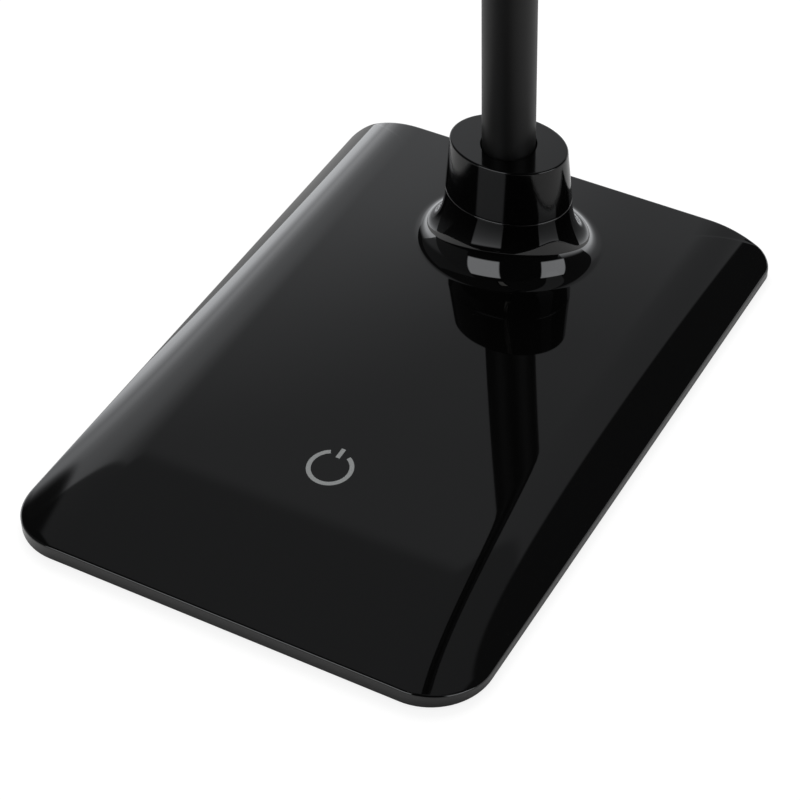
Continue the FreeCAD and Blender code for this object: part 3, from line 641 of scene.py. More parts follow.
SOLID_FINISHES: dict[Finish, tuple[str, ...]] = {
    FASTENER_STEEL: ("ballast_rivets", "led_board_screws"),
    # Powder coated steel: fine orange peel
    Finish("steel_powder_coated", "222222", 0.5, Grain.CELLS, 0.9, 0.01): ("bottom_plate",),
    # Hot rolled steel: dull, with long marks from the rolls
    Finish("steel_hot_rolled", "8F8C88", 0.55, Grain.BRUSHED, 0.8, 0.01, metallic=1.0,
           colour_change=0.18, roughness_change=0.12): ("ballast_plate",),
    # Glass fibre board under green solder mask: glossy skin over a weave
    Finish("board_solder_masked_green", "14502C", 0.28, Grain.CELLS, 0.5, 0.003,
           colour_change=0.12): ("touch_board", "control_board"),
    # Rolled copper foil: warm metal with faint streaks
    Finish("copper_rolled_foil", "D79A72", 0.3, Grain.BRUSHED, 0.4, 0.001, metallic=1.0,
           colour_change=0.06, roughness_change=0.06): ("touch_electrode",),
    # Polyimide film: amber, slightly glossy
    Finish("polyimide_cast_film", "C07A1E", 0.22, Grain.SPECKLE, 2.0, 0.002,
           colour_change=0.08): ("board_insulator",),
    # Moulded epoxy of chips: matt black, finely sparked
    Finish("epoxy_moulded_chips", "2A2A2B", 0.6, Grain.SPECKLE, 0.1, 0.004): ("board_components",),
    # Moulded nylon: waxy off-white
    Finish("nylon_moulded_connector", "E4E0D2", 0.42, Grain.SPECKLE, 0.8, 0.002,
           colour_change=0.03): ("lead_connector", "led_connector"),
    # Nickel plated steel, drawn: bright and smooth
    Finish("steel_nickel_plated", "C9C7C2", 0.2, Grain.SPECKLE, 0.6, 0.001, metallic=1.0,
           roughness_change=0.05): ("supply_inlet",),
    # Turned and passivated steel: fine rings across the axis show as streaks
    Finish("steel_turned_passivated", "B3AD98", 0.34, Grain.BRUSHED, 0.3, 0.003, metallic=1.0,
           roughness_change=0.08): ("neck_anchor", "anchor_washer", "anchor_nut"),
    # Wound spring wire: dark oiled steel, in turns of about 1.5 mm
    Finish("steel_wound_spring_wire", "84827E", 0.4, Grain.CELLS, 1.5, 0.06, metallic=1.0,
           roughness_change=0.1): ("neck_core", "neck_root_core"),
    # PVC insulation: smooth red skin
    Finish("pvc_extruded_lead", "A81E14", 0.4, Grain.SPECKLE, 0.6, 0.001,
           colour_change=0.05): ("neck_leads", "neck_root_leads"),
    # Rolled aluminium: pale with straight marks
    Finish("aluminium_rolled_sheet", "D4D5D6", 0.35, Grain.BRUSHED, 0.5, 0.003, metallic=1.0,
           roughness_change=0.08): ("heat_spreader",),
    # Aluminium board under white solder mask: satin white
    Finish("board_solder_masked_white", "ECEBE6", 0.35, Grain.SPECKLE, 0.6, 0.001,
           colour_change=0.02): ("led_board",),
    # Silicone over phosphor: waxy yellow
    Finish("silicone_cast_phosphor", "E9CF57", 0.3, Grain.SPECKLE, 0.2, 0.001,
           colour_change=0.06): ("leds",),
}


def dress(piece: Piece, finish: Finish) -> None:
    """Give a piece its one finish."""
    piece.data.materials.clear()
    piece.data.materials.append(finish.build())


def dress_solids() -> None:
    """Give every solid that stays in view its finish."""
    finishes = {name: finish for finish, names in SOLID_FINISHES.items() for name in names}
    for name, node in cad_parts.items():
        finish = finishes.get(name.rstrip("_0123456789"))
        if finish:
            dress(node, finish)
            LOG.info("%s: dressed as %s", name, finish.name)


def settle(
    piece: Piece, finish: Finish, nodes: Iterable[str], body: str | None = None
) -> None:
    """Dress a piece and tie it to the solids.

    Args:
        piece: finished piece.
        finish: its finish.
        nodes: solids that it stands for.
        body: body that it moves with, or None to tie it to no body.
    """
    dress(piece, finish)
    if body:
        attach(piece, body)
    for node in nodes:
        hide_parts(node)
    LOG.info("%s: %d faces, stands for %s", piece.name, len(piece.data.polygons), list(nodes))


# Sub-assemblies


@dataclass
class BaseCover:
    """Moulded cover: pillow top, flare under the collar and the rim round the bottom plate."""

    width: float = 120.0
    length: float = 169.0
    front_radius: float = 14.8
    back_radius: float = 5.0
    under: float = 1.0
    edge_wall: float = 2.5
    back_thickness: float = 9.1
    front_thickness: float = 4.0
    roll_width: float = 18.8
    roll_power: float = 2.2
    roof: float = 1.8
    rim: float = 1.2
    ledge: float = 3.8
    plate_top: float = 2.5
    edge_round: float = 0.55
    bottom_round: float = 0.25
    neck_y: float = 54.5
    seam_height: float = 25.4
    seam_half_x: float = 16.4
    seam_half_y: float = 12.9
    flare_run: float = 8.0
    flare_steps: int = 56
    seam_steps: int = 4
    edge_steps: int = 6
    bottom_steps: int = 3
    top_steps: int = 72
    roof_steps: int = 24
    seam_round: float = 0.25
    pedestal_wall: float = 2.4
    web: float = 3.0
    anchor_hole: float = 5.08
    inlet_width: float = 9.24
    inlet_height: float = 3.56
    inlet_middle: float = 5.83
    inlet_margin: float = 1.0
    inlet_steps: int = 10
    nearly: float = 1e-6

    @property
    def plan(self) -> RoundedPlan:
        """Outline of the base."""
        half = self.length / 2
        return RoundedPlan(self.width / 2, -half, half, self.front_radius, self.back_radius)

    def top(self, plan: np.ndarray) -> np.ndarray:
        """Height of the top at plan points."""
        share = (self.length / 2 - plan[:, 1]) / self.length
        rise = self.back_thickness - self.front_thickness
        spine = self.under + self.back_thickness - rise * share**2
        edge = self.under + self.edge_wall
        reach = np.abs(plan[:, 0]) - self.width / 2 + self.roll_width
        reach = np.maximum(0.0, reach) / self.roll_width
        return edge + (spine - edge) * (1 - reach**self.roll_power)

    def skin(self, start: np.ndarray, end: np.ndarray, steps: int, drop: float = 0.0) -> np.ndarray:
        """Rings of the top from one plan to another, moved down by a drop."""
        return np.array(
            [lifted(plan, self.top(plan) - drop) for plan in lerp_rings(start, end, steps)])

    def ellipse(self, angles: np.ndarray, half_x: float, half_y: float) -> np.ndarray:
        """Plan points of an ellipse round the neck, at given directions."""
        reach = 1 / np.sqrt((np.cos(angles) / half_x) ** 2 + (np.sin(angles) / half_y) ** 2)
        return np.column_stack([np.cos(angles) * reach, self.neck_y + np.sin(angles) * reach])

    def flare_rings(self, angles: np.ndarray, inset: float = 0.0, drop: float = 0.0) -> np.ndarray:
        """Rings of the flare from the seam down to its foot, a quarter ellipse in section.

        Args:
            angles: directions of the rings' points from the neck.
            inset: distance that the rings move inwards.
            drop: distance that they move down.

        Returns:
            The rings.
        """
        rings = []
        for turn in np.linspace(0.0, math.pi / 2, self.flare_steps + 1):
            spread = self.flare_run * (1 - math.cos(turn)) - inset
            plan = self.ellipse(angles, self.seam_half_x + spread, self.seam_half_y + spread)
            rise = self.seam_height - self.top(plan)
            rings.append(lifted(plan, self.seam_height - rise * math.sin(turn) - drop))
        return np.array(rings)

    def build(self) -> Piece:
        """Build the cover as one closed wall."""
        plan, under = self.plan, self.under
        outline = plan.ring()
        offset = outline - np.array([0.0, self.neck_y])
        angles = np.arctan2(offset[:, 1], offset[:, 0])
        flare = self.flare_rings(angles)
        half_x, half_y = self.seam_half_x - self.seam_round, self.seam_half_y - self.seam_round
        inner_seam = lifted(self.ellipse(angles, half_x, half_y), self.seam_height)
        start = int(np.argmax(flare[:, 0, 2] < self.seam_height - self.seam_round - self.nearly))
        rounded = bezier(inner_seam, flare[0], flare[start], self.seam_steps)
        top = self.skin(flare[-1][:, :2], plan.ring(self.edge_round), self.top_steps)
        corner = lifted(outline, self.top(outline))
        wall_start = corner - np.array([0.0, 0.0, self.edge_round])
        edge = bezier(top[-1], corner, wall_start, self.edge_steps)
        shell = RingMesh()
        shell.strip([*rounded, *flare[start + 1 :], *top[1:], *edge[1:]])
        wall_end = lifted(outline, under + self.bottom_round)
        back = np.abs(outline[:, 1] - self.length / 2) < self.nearly
        columns = np.where(back & (np.abs(outline[:, 0]) < self.inlet_width / 2 + self.inlet_margin))[0]
        opening = int(columns[0]) - 1, int(columns[-1]) + 1
        wall = shell.strip([wall_start, wall_end], opening=opening)
        rim_start = plan.at(under, self.bottom_round)
        shell.strip(bezier(wall_end, lifted(outline, under), rim_start, self.bottom_steps))
        inner_plan = plan.ring(self.rim + self.ledge)
        ledge_end = lifted(inner_plan, self.plate_top)
        shell.bands(rim_start, plan.at(under, self.rim), plan.at(self.plate_top, self.rim), ledge_end)
        inner_top = lifted(inner_plan, self.top(inner_plan) - self.roof)
        inside = shell.strip([ledge_end, inner_top], smooth=False, opening=opening)
        self.cut_inlet(shell, wall, inside, opening)
        self.close_inside(shell, angles, inner_plan, inner_seam)
        return shell.build("base_cover_moulding")

    def mouth(self, y: float) -> np.ndarray:
        """Ring of the inlet's mouth at a distance along the base."""
        radius = self.inlet_height / 2
        straight = self.inlet_width / 2 - radius
        right = np.linspace(-math.pi / 2, math.pi / 2, self.inlet_steps + 1)
        left = right + math.pi
        xs = np.concatenate([straight + radius * np.cos(right), -straight + radius * np.cos(left)])
        zs = self.inlet_middle + radius * np.concatenate([np.sin(right), np.sin(left)])
        return np.column_stack([xs, np.full(len(xs), y), zs])

    def cut_inlet(
        self, shell: RingMesh, wall: list[list[int]], inside: list[list[int]],
        opening: tuple[int, int],
    ) -> None:
        """Open the back wall for the inlet.

        Args:
            shell: the cover so far.
            wall: rings of the outer wall, top first.
            inside: rings of the inner wall, bottom first.
            opening: columns left open in both.
        """
        columns = range(opening[0], opening[1] + 1)
        mouths = []
        for rows, facing in ((wall, 1.0), (inside, -1.0)):
            hole = shell.add_points(self.mouth(float(shell.points[rows[0][opening[0]]][1])))
            border = [rows[0][j] for j in columns] + [rows[1][j] for j in reversed(columns)]
            shell.holed_patch(border, hole, (0.0, facing, 0.0))
            mouths.append(hole)
        outer, inner = mouths
        middle = np.array([0.0, 0.0, self.inlet_middle])
        for j in range(len(outer)):
            n = (j + 1) % len(outer)
            corners = (outer[j], inner[j], inner[n], outer[n])
            inward = (middle - shell.places(corners)) * np.array([1.0, 0.0, 1.0])
            shell.add_face(corners, inward / np.linalg.norm(inward, axis=1, keepdims=True))

    def close_inside(
        self, shell: RingMesh, angles: np.ndarray, inner_plan: np.ndarray, inner_seam: np.ndarray
    ) -> None:
        """Add the roof's underside, the hollow of the flare, its web and the anchor's hole.

        Args:
            shell: the cover so far.
            angles: directions of the rings' points.
            inner_plan: plan of the inner wall.
            inner_seam: the mesh's first ring.
        """
        hollow = self.flare_rings(angles, self.pedestal_wall, self.roof)[::-1]
        web_under = self.seam_height - self.web
        kept = int(np.argmax(hollow[:, 0, 2] > web_under))
        shell.strip(self.skin(inner_plan, hollow[0][:, :2], self.roof_steps, self.roof))
        web_start = lifted(hollow[kept][:, :2], web_under)
        shell.strip([*hollow[:kept], web_start])
        hole = self.ellipse(angles, self.anchor_hole, self.anchor_hole)
        hole_low, hole_high = lifted(hole, web_under), lifted(hole, self.seam_height)
        shell.bands(web_start, hole_low)
        shell.strip([hole_low, hole_high])
        shell.strip([hole_high, inner_seam], smooth=False, closing=True)


@dataclass
class PowerMark:
    """Printed power symbol on the top: a ring that is open at the back, and a bar."""

    cover: BaseCover
    y: float = -35.1
    radius: float = 5.6
    stroke: float = 1.1
    gap_degrees: float = 28.0
    bar_start: float = 3.4
    bar_end: float = 6.5
    bar_points: int = 9
    proud: float = 0.015
    sunk: float = 0.08
    steps: int = 96

    def build(self) -> Piece:
        """Build both strokes as thin closed films on the curved top."""
        film = RingMesh()
        angles = np.radians(np.linspace(90 + self.gap_degrees, 450 - self.gap_degrees, self.steps + 1))
        rim = np.column_stack([np.cos(angles), np.sin(angles)])
        self.add_film(film, rim * (self.radius - self.stroke), rim * self.radius)
        ys = np.linspace(self.bar_start, self.bar_end, self.bar_points)
        half = np.full(self.bar_points, self.stroke / 2)
        self.add_film(film, np.column_stack([-half, ys]), np.column_stack([half, ys]))
        return film.build("power_mark_print")

    def add_film(self, film: RingMesh, left: np.ndarray, right: np.ndarray) -> None:
        """Add one stroke between its two borders.

        Args:
            film: mesh that receives it.
            left: points of one border, about the mark's middle.
            right: points of the other one.
        """
        rows = []
        corners = (left, self.proud), (right, self.proud), (right, -self.sunk), (left, -self.sunk)
        for border, height in corners:
            plan = border + np.array([0.0, self.y])
            rows.append(film.add_points(lifted(plan, self.cover.top(plan) + height)))
        for j in range(len(left) - 1):
            for a, b in zip(rows, rows[1:] + rows[:1]):
                film.add_face((a[j], b[j], b[j + 1], a[j + 1]))
        film.add_face([row[0] for row in reversed(rows)])
        film.add_face([row[-1] for row in rows])


@dataclass
class Collar:
    """Oval collar with the socket that takes the neck."""

    neck_y: float = 54.5
    low: float = 25.4
    high: float = 40.0
    bottom_half: tuple[float, float] = (16.4, 12.9)
    top_half: tuple[float, float] = (15.2, 11.2)
    edge_round: float = 0.45
    socket_radius: float = 7.0
    socket_floor: float = 30.0
    bore: float = 5.08
    points: int = 192
    edge_steps: int = 6
    side_steps: int = 8

    def ring(self, half_x: float, half_y: float, height: float) -> np.ndarray:
        """Level ellipse round the neck."""
        return lifted(oval(half_x, half_y, self.points, self.neck_y), height)

    def side(self, share: float, height: float) -> np.ndarray:
        """Ring of the side at a share of its height."""
        halves = [low + (high - low) * share for low, high in zip(self.bottom_half, self.top_half)]
        return self.ring(*halves, height)

    def build(self) -> Piece:
        """Build the collar as one closed turning."""
        e = self.edge_round
        share = e / (self.high - self.low)
        solid = RingMesh()
        floor, mouth = (
            self.ring(self.socket_radius, self.socket_radius, height)
            for height in (self.socket_floor, self.high))
        solid.strip([floor, mouth])
        top_edge, bottom_edge = (
            self.ring(half[0] - e, half[1] - e, height)
            for half, height in ((self.top_half, self.high), (self.bottom_half, self.low)))
        solid.strip([mouth, top_edge], smooth=False)
        side_top, side_bottom = self.side(1 - share, self.high - e), self.side(share, self.low + e)
        corner_high = self.ring(*self.top_half, self.high)
        corner_low = self.ring(*self.bottom_half, self.low)
        solid.strip([
            *bezier(top_edge, corner_high, side_top, self.edge_steps),
            *lerp_rings(side_top, side_bottom, self.side_steps)[1:],
            *bezier(side_bottom, corner_low, bottom_edge, self.edge_steps)[1:]])
        bore_low = self.ring(self.bore, self.bore, self.low)
        bore_high = self.ring(self.bore, self.bore, self.socket_floor)
        solid.strip([bottom_edge, bore_low], smooth=False)
        solid.strip([bore_low, bore_high])
        solid.strip([bore_high, floor], smooth=False, closing=True)
        return solid.build("collar_moulding")


@dataclass
class Neck:
    """Satin sleeve of the gooseneck, in lengths that lie over each hinge."""

    y: float = 54.5
    collar_top: float = 40.0
    socket_floor: float = 30.0
    radius: float = 6.6
    wall: float = 0.6
    straight: float = 225.0
    arch_radius: float = 85.0
    root: float = 24.0
    link: float = 40.0
    links: int = 9
    length: float = 384.0
    ring_spacing: float = 1.0
    ring_points: int = 64
    bend_inset: float = 2.0
    crease_degrees: float = 40.0

    def point(self, s: float) -> Vector:
        """Point of the centre line at a length above the collar's top, in metres."""
        arch = self.arch_radius * math.pi / 2
        turn = min(max(0.0, s - self.straight) / self.arch_radius, math.pi / 2)
        beyond = max(0.0, s - self.straight - arch)
        y = self.y - self.arch_radius * (1 - math.cos(turn)) - beyond
        rise = min(s, self.straight) + self.arch_radius * math.sin(turn)
        return Vector((0.0, y, self.collar_top + rise)) * MM

    def hinge(self, number: int) -> float:
        """Length at which a hinge sits."""
        return self.root + self.link * (number - 1)

    def sleeve_nodes(self) -> Nodes:
        """Node tree that runs a round tube along a path."""
        kinds = {"Radius": "Float", "Points": "Int", "Finish": "Material"}
        nodes, given = geometry_nodes("sleeve_on_path", kinds)
        path = nodes.out("GeometryNodeMeshToCurve", {"Mesh": given["Geometry"]})
        size = {"Resolution": given["Points"], "Radius": given["Radius"]}
        ring = nodes.out("GeometryNodeCurvePrimitiveCircle", size)
        tube = nodes.out("GeometryNodeCurveToMesh", {"Curve": path, "Profile Curve": ring})
        end_geometry(nodes, tube, given["Finish"])
        return nodes

    def tube(self, nodes: Nodes, name: str, start: float, end: float) -> Piece:
        """One length of sleeve.

        Args:
            nodes: node tree of the tube.
            name: name of the piece.
            start: where it starts along the neck.
            end: where it ends.

        Returns:
            The piece, a closed wall.
        """
        count = max(2, round((end - start) / self.ring_spacing))
        path = [tuple(self.point(start + (end - start) * k / count)) for k in range(count + 1)]
        piece = grow(name, path, [(k, k + 1) for k in range(count)], nodes, {
            "Radius": self.radius * MM, "Points": self.ring_points, "Finish": SLEEVE.build()})
        facing_out(piece.data, self.point((start + end) / 2))
        wall = piece.modifiers.new("wall", "SOLIDIFY")
        wall.thickness = self.wall * MM
        wall.offset = -1.0
        apply_modifiers(piece)
        piece.data.polygons.foreach_set("use_smooth", [True] * len(piece.data.polygons))
        piece.data.set_sharp_from_angle(angle=math.radians(self.crease_degrees))
        return piece

    def build(self) -> None:
        """Build the fixed foot, one length over each hinge and the end in the head."""
        nodes = self.sleeve_nodes()
        starts = [self.hinge(number) - self.link / 2 for number in range(1, self.links + 2)]
        foot = self.tube(nodes, "neck_sleeve_foot", self.socket_floor - self.collar_top, starts[0])
        settle(foot, SLEEVE, ["neck_root_sleeve"], "base")
        for number in range(1, self.links + 1):
            start, end = starts[number - 1], starts[number]
            piece = self.tube(nodes, f"neck_sleeve_bend_{number}", start, end)
            tuple(self.point(start + self.bend_inset))
            tuple(self.point(end - self.bend_inset))
            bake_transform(piece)
            settle(piece, SLEEVE, [f"neck_sleeve_{number}"])
        tip = self.tube(nodes, "neck_sleeve_tip", starts[-1], self.length)
        settle(tip, SLEEVE, [], "head")


def facing_out(mesh: bpy.types.Mesh, inside: Vector) -> None:
    """Turn a tube's faces outwards if they face its axis near a point inside."""
    face = min(mesh.polygons, key=lambda polygon: (polygon.center - inside).length)
    if face.normal.dot(face.center - inside) < 0:
        mesh.flip_normals()


@dataclass
class Head:
    """LED head: ferrule, housing, bezel and diffuser."""

    front: float = -209.0
    rear: float = -59.0
    half_width: float = 23.0
    under: float = 342.5
    thickness: float = 15.0
    corner: float = 14.0
    top_round: float = 5.5
    wall: float = 1.8
    edge_round: float = 0.3
    edge_steps: int = 4
    pane_steps: int = 3
    side_steps: tuple[int, int, int, int] = (70, 14, 70, 14)
    dome_levels: int = 4
    dome_steps: int = 12
    bezel_thickness: float = 2.0
    bezel_clearance: float = 0.12
    bezel_frame: float = 5.5
    bezel_lip: float = 1.2
    end_frame: float = 8.0
    diffuser_thickness: float = 1.4
    diffuser_clearance: float = 0.1
    screw_x: float = 11.5
    screw_inset: float = 8.0
    screw_radius: float = 2.6
    shank_radius: float = 1.4
    countersink: float = 1.1
    drill_below: float = 0.5
    drill_above: float = 5.0
    drill_points: int = 64
    sleeve_radius: float = 6.6
    ferrule_wall: float = 0.8
    ferrule_grip: float = 12.0
    ferrule_neck: float = 3.0
    ferrule_round: float = 0.3
    ferrule_round_share: float = 0.3
    spigot_radius: float = 5.2
    spigot_length: float = 8.0
    spigot_clearance: float = 0.05
    spigot_drill_reach: float = 2.0
    bore: float = 2.0

    @property
    def top(self) -> float:
        """Height of the head's top face."""
        return self.under + self.thickness

    @property
    def axis(self) -> float:
        """Height of the neck's axis in the head."""
        return self.under + self.thickness / 2

    def plan(self, inset: float, shorter: float = 0.0) -> RoundedPlan:
        """Outline of the head drawn in, and cut shorter at both ends."""
        radius = self.corner - inset
        front, rear = self.front + inset + shorter, self.rear - inset - shorter
        half = self.half_width - inset
        return RoundedPlan(half, front, rear, radius, radius, self.side_steps)

    def dome(self, plan: RoundedPlan, low: float, high: float, radius: float) -> list[np.ndarray]:
        """Rings of a wall that rounds over into a flat top."""
        rings = [plan.at(height) for height in np.linspace(low, high - radius, self.dome_levels)]
        for turn in np.linspace(0.0, math.pi / 2, self.dome_steps + 1)[1:]:
            inset = radius * (1 - math.cos(turn))
            rings.append(plan.at(high - radius + radius * math.sin(turn), inset))
        return rings

    def housing(self) -> Piece:
        """Shell with a rounded top, open below, with a hole for the ferrule's spigot."""
        shell = RingMesh()
        e = self.edge_round
        outer, inner = self.plan(0.0), self.plan(self.wall)
        roof = self.dome(inner, self.under, self.top - self.wall, self.top_round - self.wall)
        shell.strip(roof[::-1])
        bottom = outer.at(self.under, e)
        shell.bands(roof[0], bottom)
        side = outer.at(self.under + e)
        rounded = bezier(bottom, outer.at(self.under), side, self.edge_steps)
        shell.strip([*rounded, *self.dome(outer, self.under + e, self.top, self.top_round)[1:]])
        shell.close_ends()
        piece = shell.build("head_housing_shell")
        radius = self.spigot_radius + self.spigot_clearance
        ends = (self.rear + self.spigot_drill_reach, self.rear - self.spigot_length)
        drill = plug("spigot_drill", [upright_circle(radius, y) for y in ends])
        drill.location = (0.0, 0.0, self.axis * MM)
        return carve(piece, [drill])

    def bezel(self) -> Piece:
        """Frame under the head, with the window's step and countersunk holes."""
        rim = RingMesh()
        e, low, high = self.edge_round, self.under, self.under + self.bezel_thickness
        window = self.wall + self.bezel_frame
        step = high - self.diffuser_thickness
        outer = self.plan(self.wall + self.bezel_clearance)
        narrow = self.plan(window + self.bezel_lip, self.end_frame)
        wide = self.plan(window, self.end_frame)
        low_outer, low_inner = outer.at(low, e), narrow.at(low, -e)
        rim.bands(low_inner, low_outer)
        rounded = bezier(low_outer, outer.at(low), outer.at(low + e), self.edge_steps)
        rim.strip([*rounded, outer.at(high)])
        lip = narrow.at(step)
        rim.bands(outer.at(high), wide.at(high), wide.at(step), lip)
        rounded = bezier(narrow.at(low + e), narrow.at(low), low_inner, self.edge_steps)
        rim.strip([lip, *rounded], closing=True)
        grow_by = (self.screw_radius - self.shank_radius) / self.countersink * self.drill_below
        levels = (
            (self.shank_radius, self.countersink + self.drill_above),
            (self.shank_radius, self.countersink),
            (self.screw_radius + grow_by, -self.drill_below),
        )
        rings = [lifted(oval(radius, radius, self.drill_points), z) for radius, z in levels]
        piece = rim.build("head_bezel_frame")
        drills = []
        for x, y in self.screw_places():
            drills.append(plug("countersink", rings))
            drills[-1].location = (x * MM, y * MM, low * MM)
        return carve(piece, drills)

    def screw_places(self) -> list[tuple[float, float]]:
        """Plan points of the four bezel screws."""
        rows = (self.front + self.screw_inset, self.rear - self.screw_inset)
        return [(side * self.screw_x, y) for y in rows for side in (-1, 1)]

    def diffuser(self) -> Piece:
        """Frosted window with softened edges."""
        e = self.diffuser_clearance
        plan = self.plan(self.wall + self.bezel_frame + e, self.end_frame)
        high = self.under + self.bezel_thickness
        low = high - self.diffuser_thickness
        return plug("diffuser_plate", [
            *bezier(plan.at(low, e), plan.at(low), plan.at(low + e), self.pane_steps),
            *bezier(plan.at(high - e), plan.at(high), plan.at(high, e), self.pane_steps)])

    def ferrule(self) -> Piece:
        """Turned end piece that grips the sleeve and plugs into the head."""
        e = self.ferrule_round
        part = e * self.ferrule_round_share
        grip, outer = self.sleeve_radius, self.sleeve_radius + self.ferrule_wall
        neck_end = self.rear + self.ferrule_neck
        mouth = neck_end + self.ferrule_grip
        tip = self.rear - self.spigot_length
        return turned("head_ferrule_turning", [
            (grip, neck_end, True), (grip, mouth - e, False), (grip + part, mouth - part, False),
            (grip + e, mouth, True), (outer - e, mouth, True),
            (outer - part, mouth - part, False), (outer, mouth - e, False),
            (outer, self.rear + e, False), (outer - part, self.rear + part, False),
            (outer - e, self.rear, True), (self.spigot_radius, self.rear, True),
            (self.spigot_radius, tip, True), (self.bore, tip, True), (self.bore, neck_end, True),
        ], self.axis)

    def build(self) -> None:
        """Build the head's pieces and tie them to the solids."""
        settle(self.ferrule(), FERRULE_LACQUER, ["head_ferrule"], "head")
        settle(self.housing(), GLOSS_HEAD, ["head_housing"], "head")
        settle(self.bezel(), BEZEL_TEXTURE, ["head_bezel"], "head")
        settle(self.diffuser(), DIFFUSER_OPAL, ["diffuser"], "head")


def plug(name: str, rings: Sequence[np.ndarray]) -> Piece:
    """Smooth solid through rings, with flat ends."""
    solid = RingMesh()
    solid.strip(rings)
    solid.close_ends()
    return solid.build(name)


@dataclass(frozen=True)
class ScrewShape:
    """Countersunk screw with a cross recess, head down."""

    head_radius: float = 2.5
    shank_radius: float = 1.3
    head_height: float = 1.1
    length: float = 3.6
    recess_half: float = 1.5
    recess_width: float = 0.5
    recess_depth: float = 0.5
    recess_taper: float = 0.35
    recess_floor_share: float = 0.8
    edge: float = 0.12
    edge_inset_share: float = 0.5
    edge_rise_share: float = 0.6
    edge_steps: int = 3
    nearly: float = 1e-6
    tip: float = 0.3
    points: int = 96

    def cross(self, half: float, width: float, height: float) -> np.ndarray:
        """Outline of the recess at a height."""
        angles = circle_angles(self.points)
        c, s = (np.maximum(np.abs(wave(angles)), self.nearly) for wave in (np.cos, np.sin))
        along = np.minimum(half / c, width / 2 / s)
        across = np.minimum(half / s, width / 2 / c)
        reach = np.maximum(along, across)
        return lifted(np.column_stack([np.cos(angles), np.sin(angles)]) * reach[:, None], height)

    def disc(self, radius: float, height: float) -> np.ndarray:
        """Level circle round the screw."""
        return lifted(oval(radius, radius, self.points), height)

    def build(self) -> Piece:
        """Build one screw at the origin."""
        screw = RingMesh()
        mouth = self.cross(self.recess_half, self.recess_width, 0.0)
        floor = self.cross(
            self.recess_half - self.recess_taper, self.recess_width * self.recess_floor_share,
            self.recess_depth)
        face = self.disc(self.head_radius - self.edge, 0.0)
        screw.bands(floor, mouth, face)
        inset = self.edge * self.edge_inset_share
        rim = self.disc(self.head_radius - inset, self.edge * self.edge_rise_share)
        screw.strip(bezier(face, self.disc(self.head_radius, 0.0), rim, self.edge_steps))
        under = self.disc(self.shank_radius, self.head_height)
        tip = self.disc(self.shank_radius, self.length - self.tip)
        end = self.disc(self.shank_radius - self.tip, self.length)
        for pair in ((rim, under), (under, tip), (tip, end)):
            screw.strip(pair)
        screw.close_ends()
        return screw.build("screw_template")


class Fastenings:
    """Screws, each modelled once and set out on points.

    Each copy is turned by a seeded amount up to the spread, in radians.
    """

    seed = 7
    spread = 1.5

    def __init__(self) -> None:
        """Make the node tree that sets a template out on points."""
        kinds = {"Template": "Object", "Finish": "Material", "Turn Spread": "Float"}
        self.nodes, given = geometry_nodes("template_on_points", kinds)
        nodes = self.nodes
        points = nodes.out("GeometryNodeMeshToPoints", {"Mesh": given["Geometry"]})
        template = nodes.out("GeometryNodeObjectInfo", {"Object": given["Template"]}, "Geometry")
        limits = {2: 0.0, 3: given["Turn Spread"], "Seed": self.seed}
        turn = nodes.out("FunctionNodeRandomValue", limits, 1, data_type="FLOAT")
        angles = nodes.out("ShaderNodeCombineXYZ", {"Z": turn})
        placed = nodes.out(
            "GeometryNodeInstanceOnPoints",
            {"Points": points, "Instance": template, "Rotation": angles})
        end_geometry(nodes, placed, given["Finish"])

    def set_out(
        self, name: str, template: Piece, places: Sequence[tuple[float, float]], height: float
    ) -> Piece:
        """Set a template out on level points.

        Args:
            name: name of the piece.
            template: what is repeated; it is removed afterwards.
            places: plan points.
            height: their height.

        Returns:
            The piece.
        """
        points = [(x * MM, y * MM, height * MM) for x, y in places]
        piece = grow(name, points, [], self.nodes, {
            "Template": template, "Finish": FASTENER_STEEL.build(), "Turn Spread": self.spread})
        bpy.data.objects.remove(template)
        return piece


@dataclass
class Underside:
    """What lies under the base: pad and screws."""

    half_width: float = 60.0
    half_length: float = 84.5
    front_radius: float = 14.8
    pad_inset: float = 6.0
    pad_thickness: float = 1.0
    pad_round: float = 0.25
    pad_round_steps: int = 4
    screw_side: float = 16.0
    screw_middle: float = 9.0
    screw_front: float = 13.5
    screw_back: float = 12.0

    def pad(self) -> Piece:
        """Rubber sheet with a softened edge."""
        x, y = self.half_width - self.pad_inset, self.half_length - self.pad_inset
        radius = self.front_radius - self.pad_inset
        plan = RoundedPlan(x, -y, y, radius, radius)
        e = self.pad_round
        low = bezier(plan.at(0.0, e), plan.at(0.0), plan.at(e), self.pad_round_steps)
        return plug("anti_slip_sheet", [*low, plan.at(self.pad_thickness)])

    def screw_places(self) -> list[tuple[float, float]]:
        """Plan points of the six screws."""
        x = self.half_width - self.screw_side
        rows = (-self.half_length + self.screw_front, self.half_length - self.screw_back)
        corners = [(side * x, y) for y in rows for side in (-1, 1)]
        return corners + [(side * (self.half_width - self.screw_middle), 0.0) for side in (-1, 1)]


# Studio


@dataclass(frozen=True)
class Ray:
    """Where a mirrored ray goes: its direction, and its elevation and heading in radians."""

    direction: Socket
    height: Socket
    heading: Socket


@dataclass(frozen=True)
class Panel:
    """Part of the studio on one side of a straight edge, darker than the sweep."""

    normal: Triple
    softness: float
    level: float
    above_degrees: float
    fade: float = 0.1

    def over(self, nodes: Nodes, ray: Ray, level: Socket) -> Socket:
        """Put the panel over the brightness behind it."""
        side = nodes.step(nodes.dot(ray.direction, self.normal), -self.softness, self.softness)
        low = math.radians(self.above_degrees)
        above = nodes.step(ray.height, low - self.fade, low + self.fade)
        share = nodes.calculate("MULTIPLY", side, above)
        return nodes.out("ShaderNodeMix", {0: share, 2: level, 3: self.level}, data_type="FLOAT")


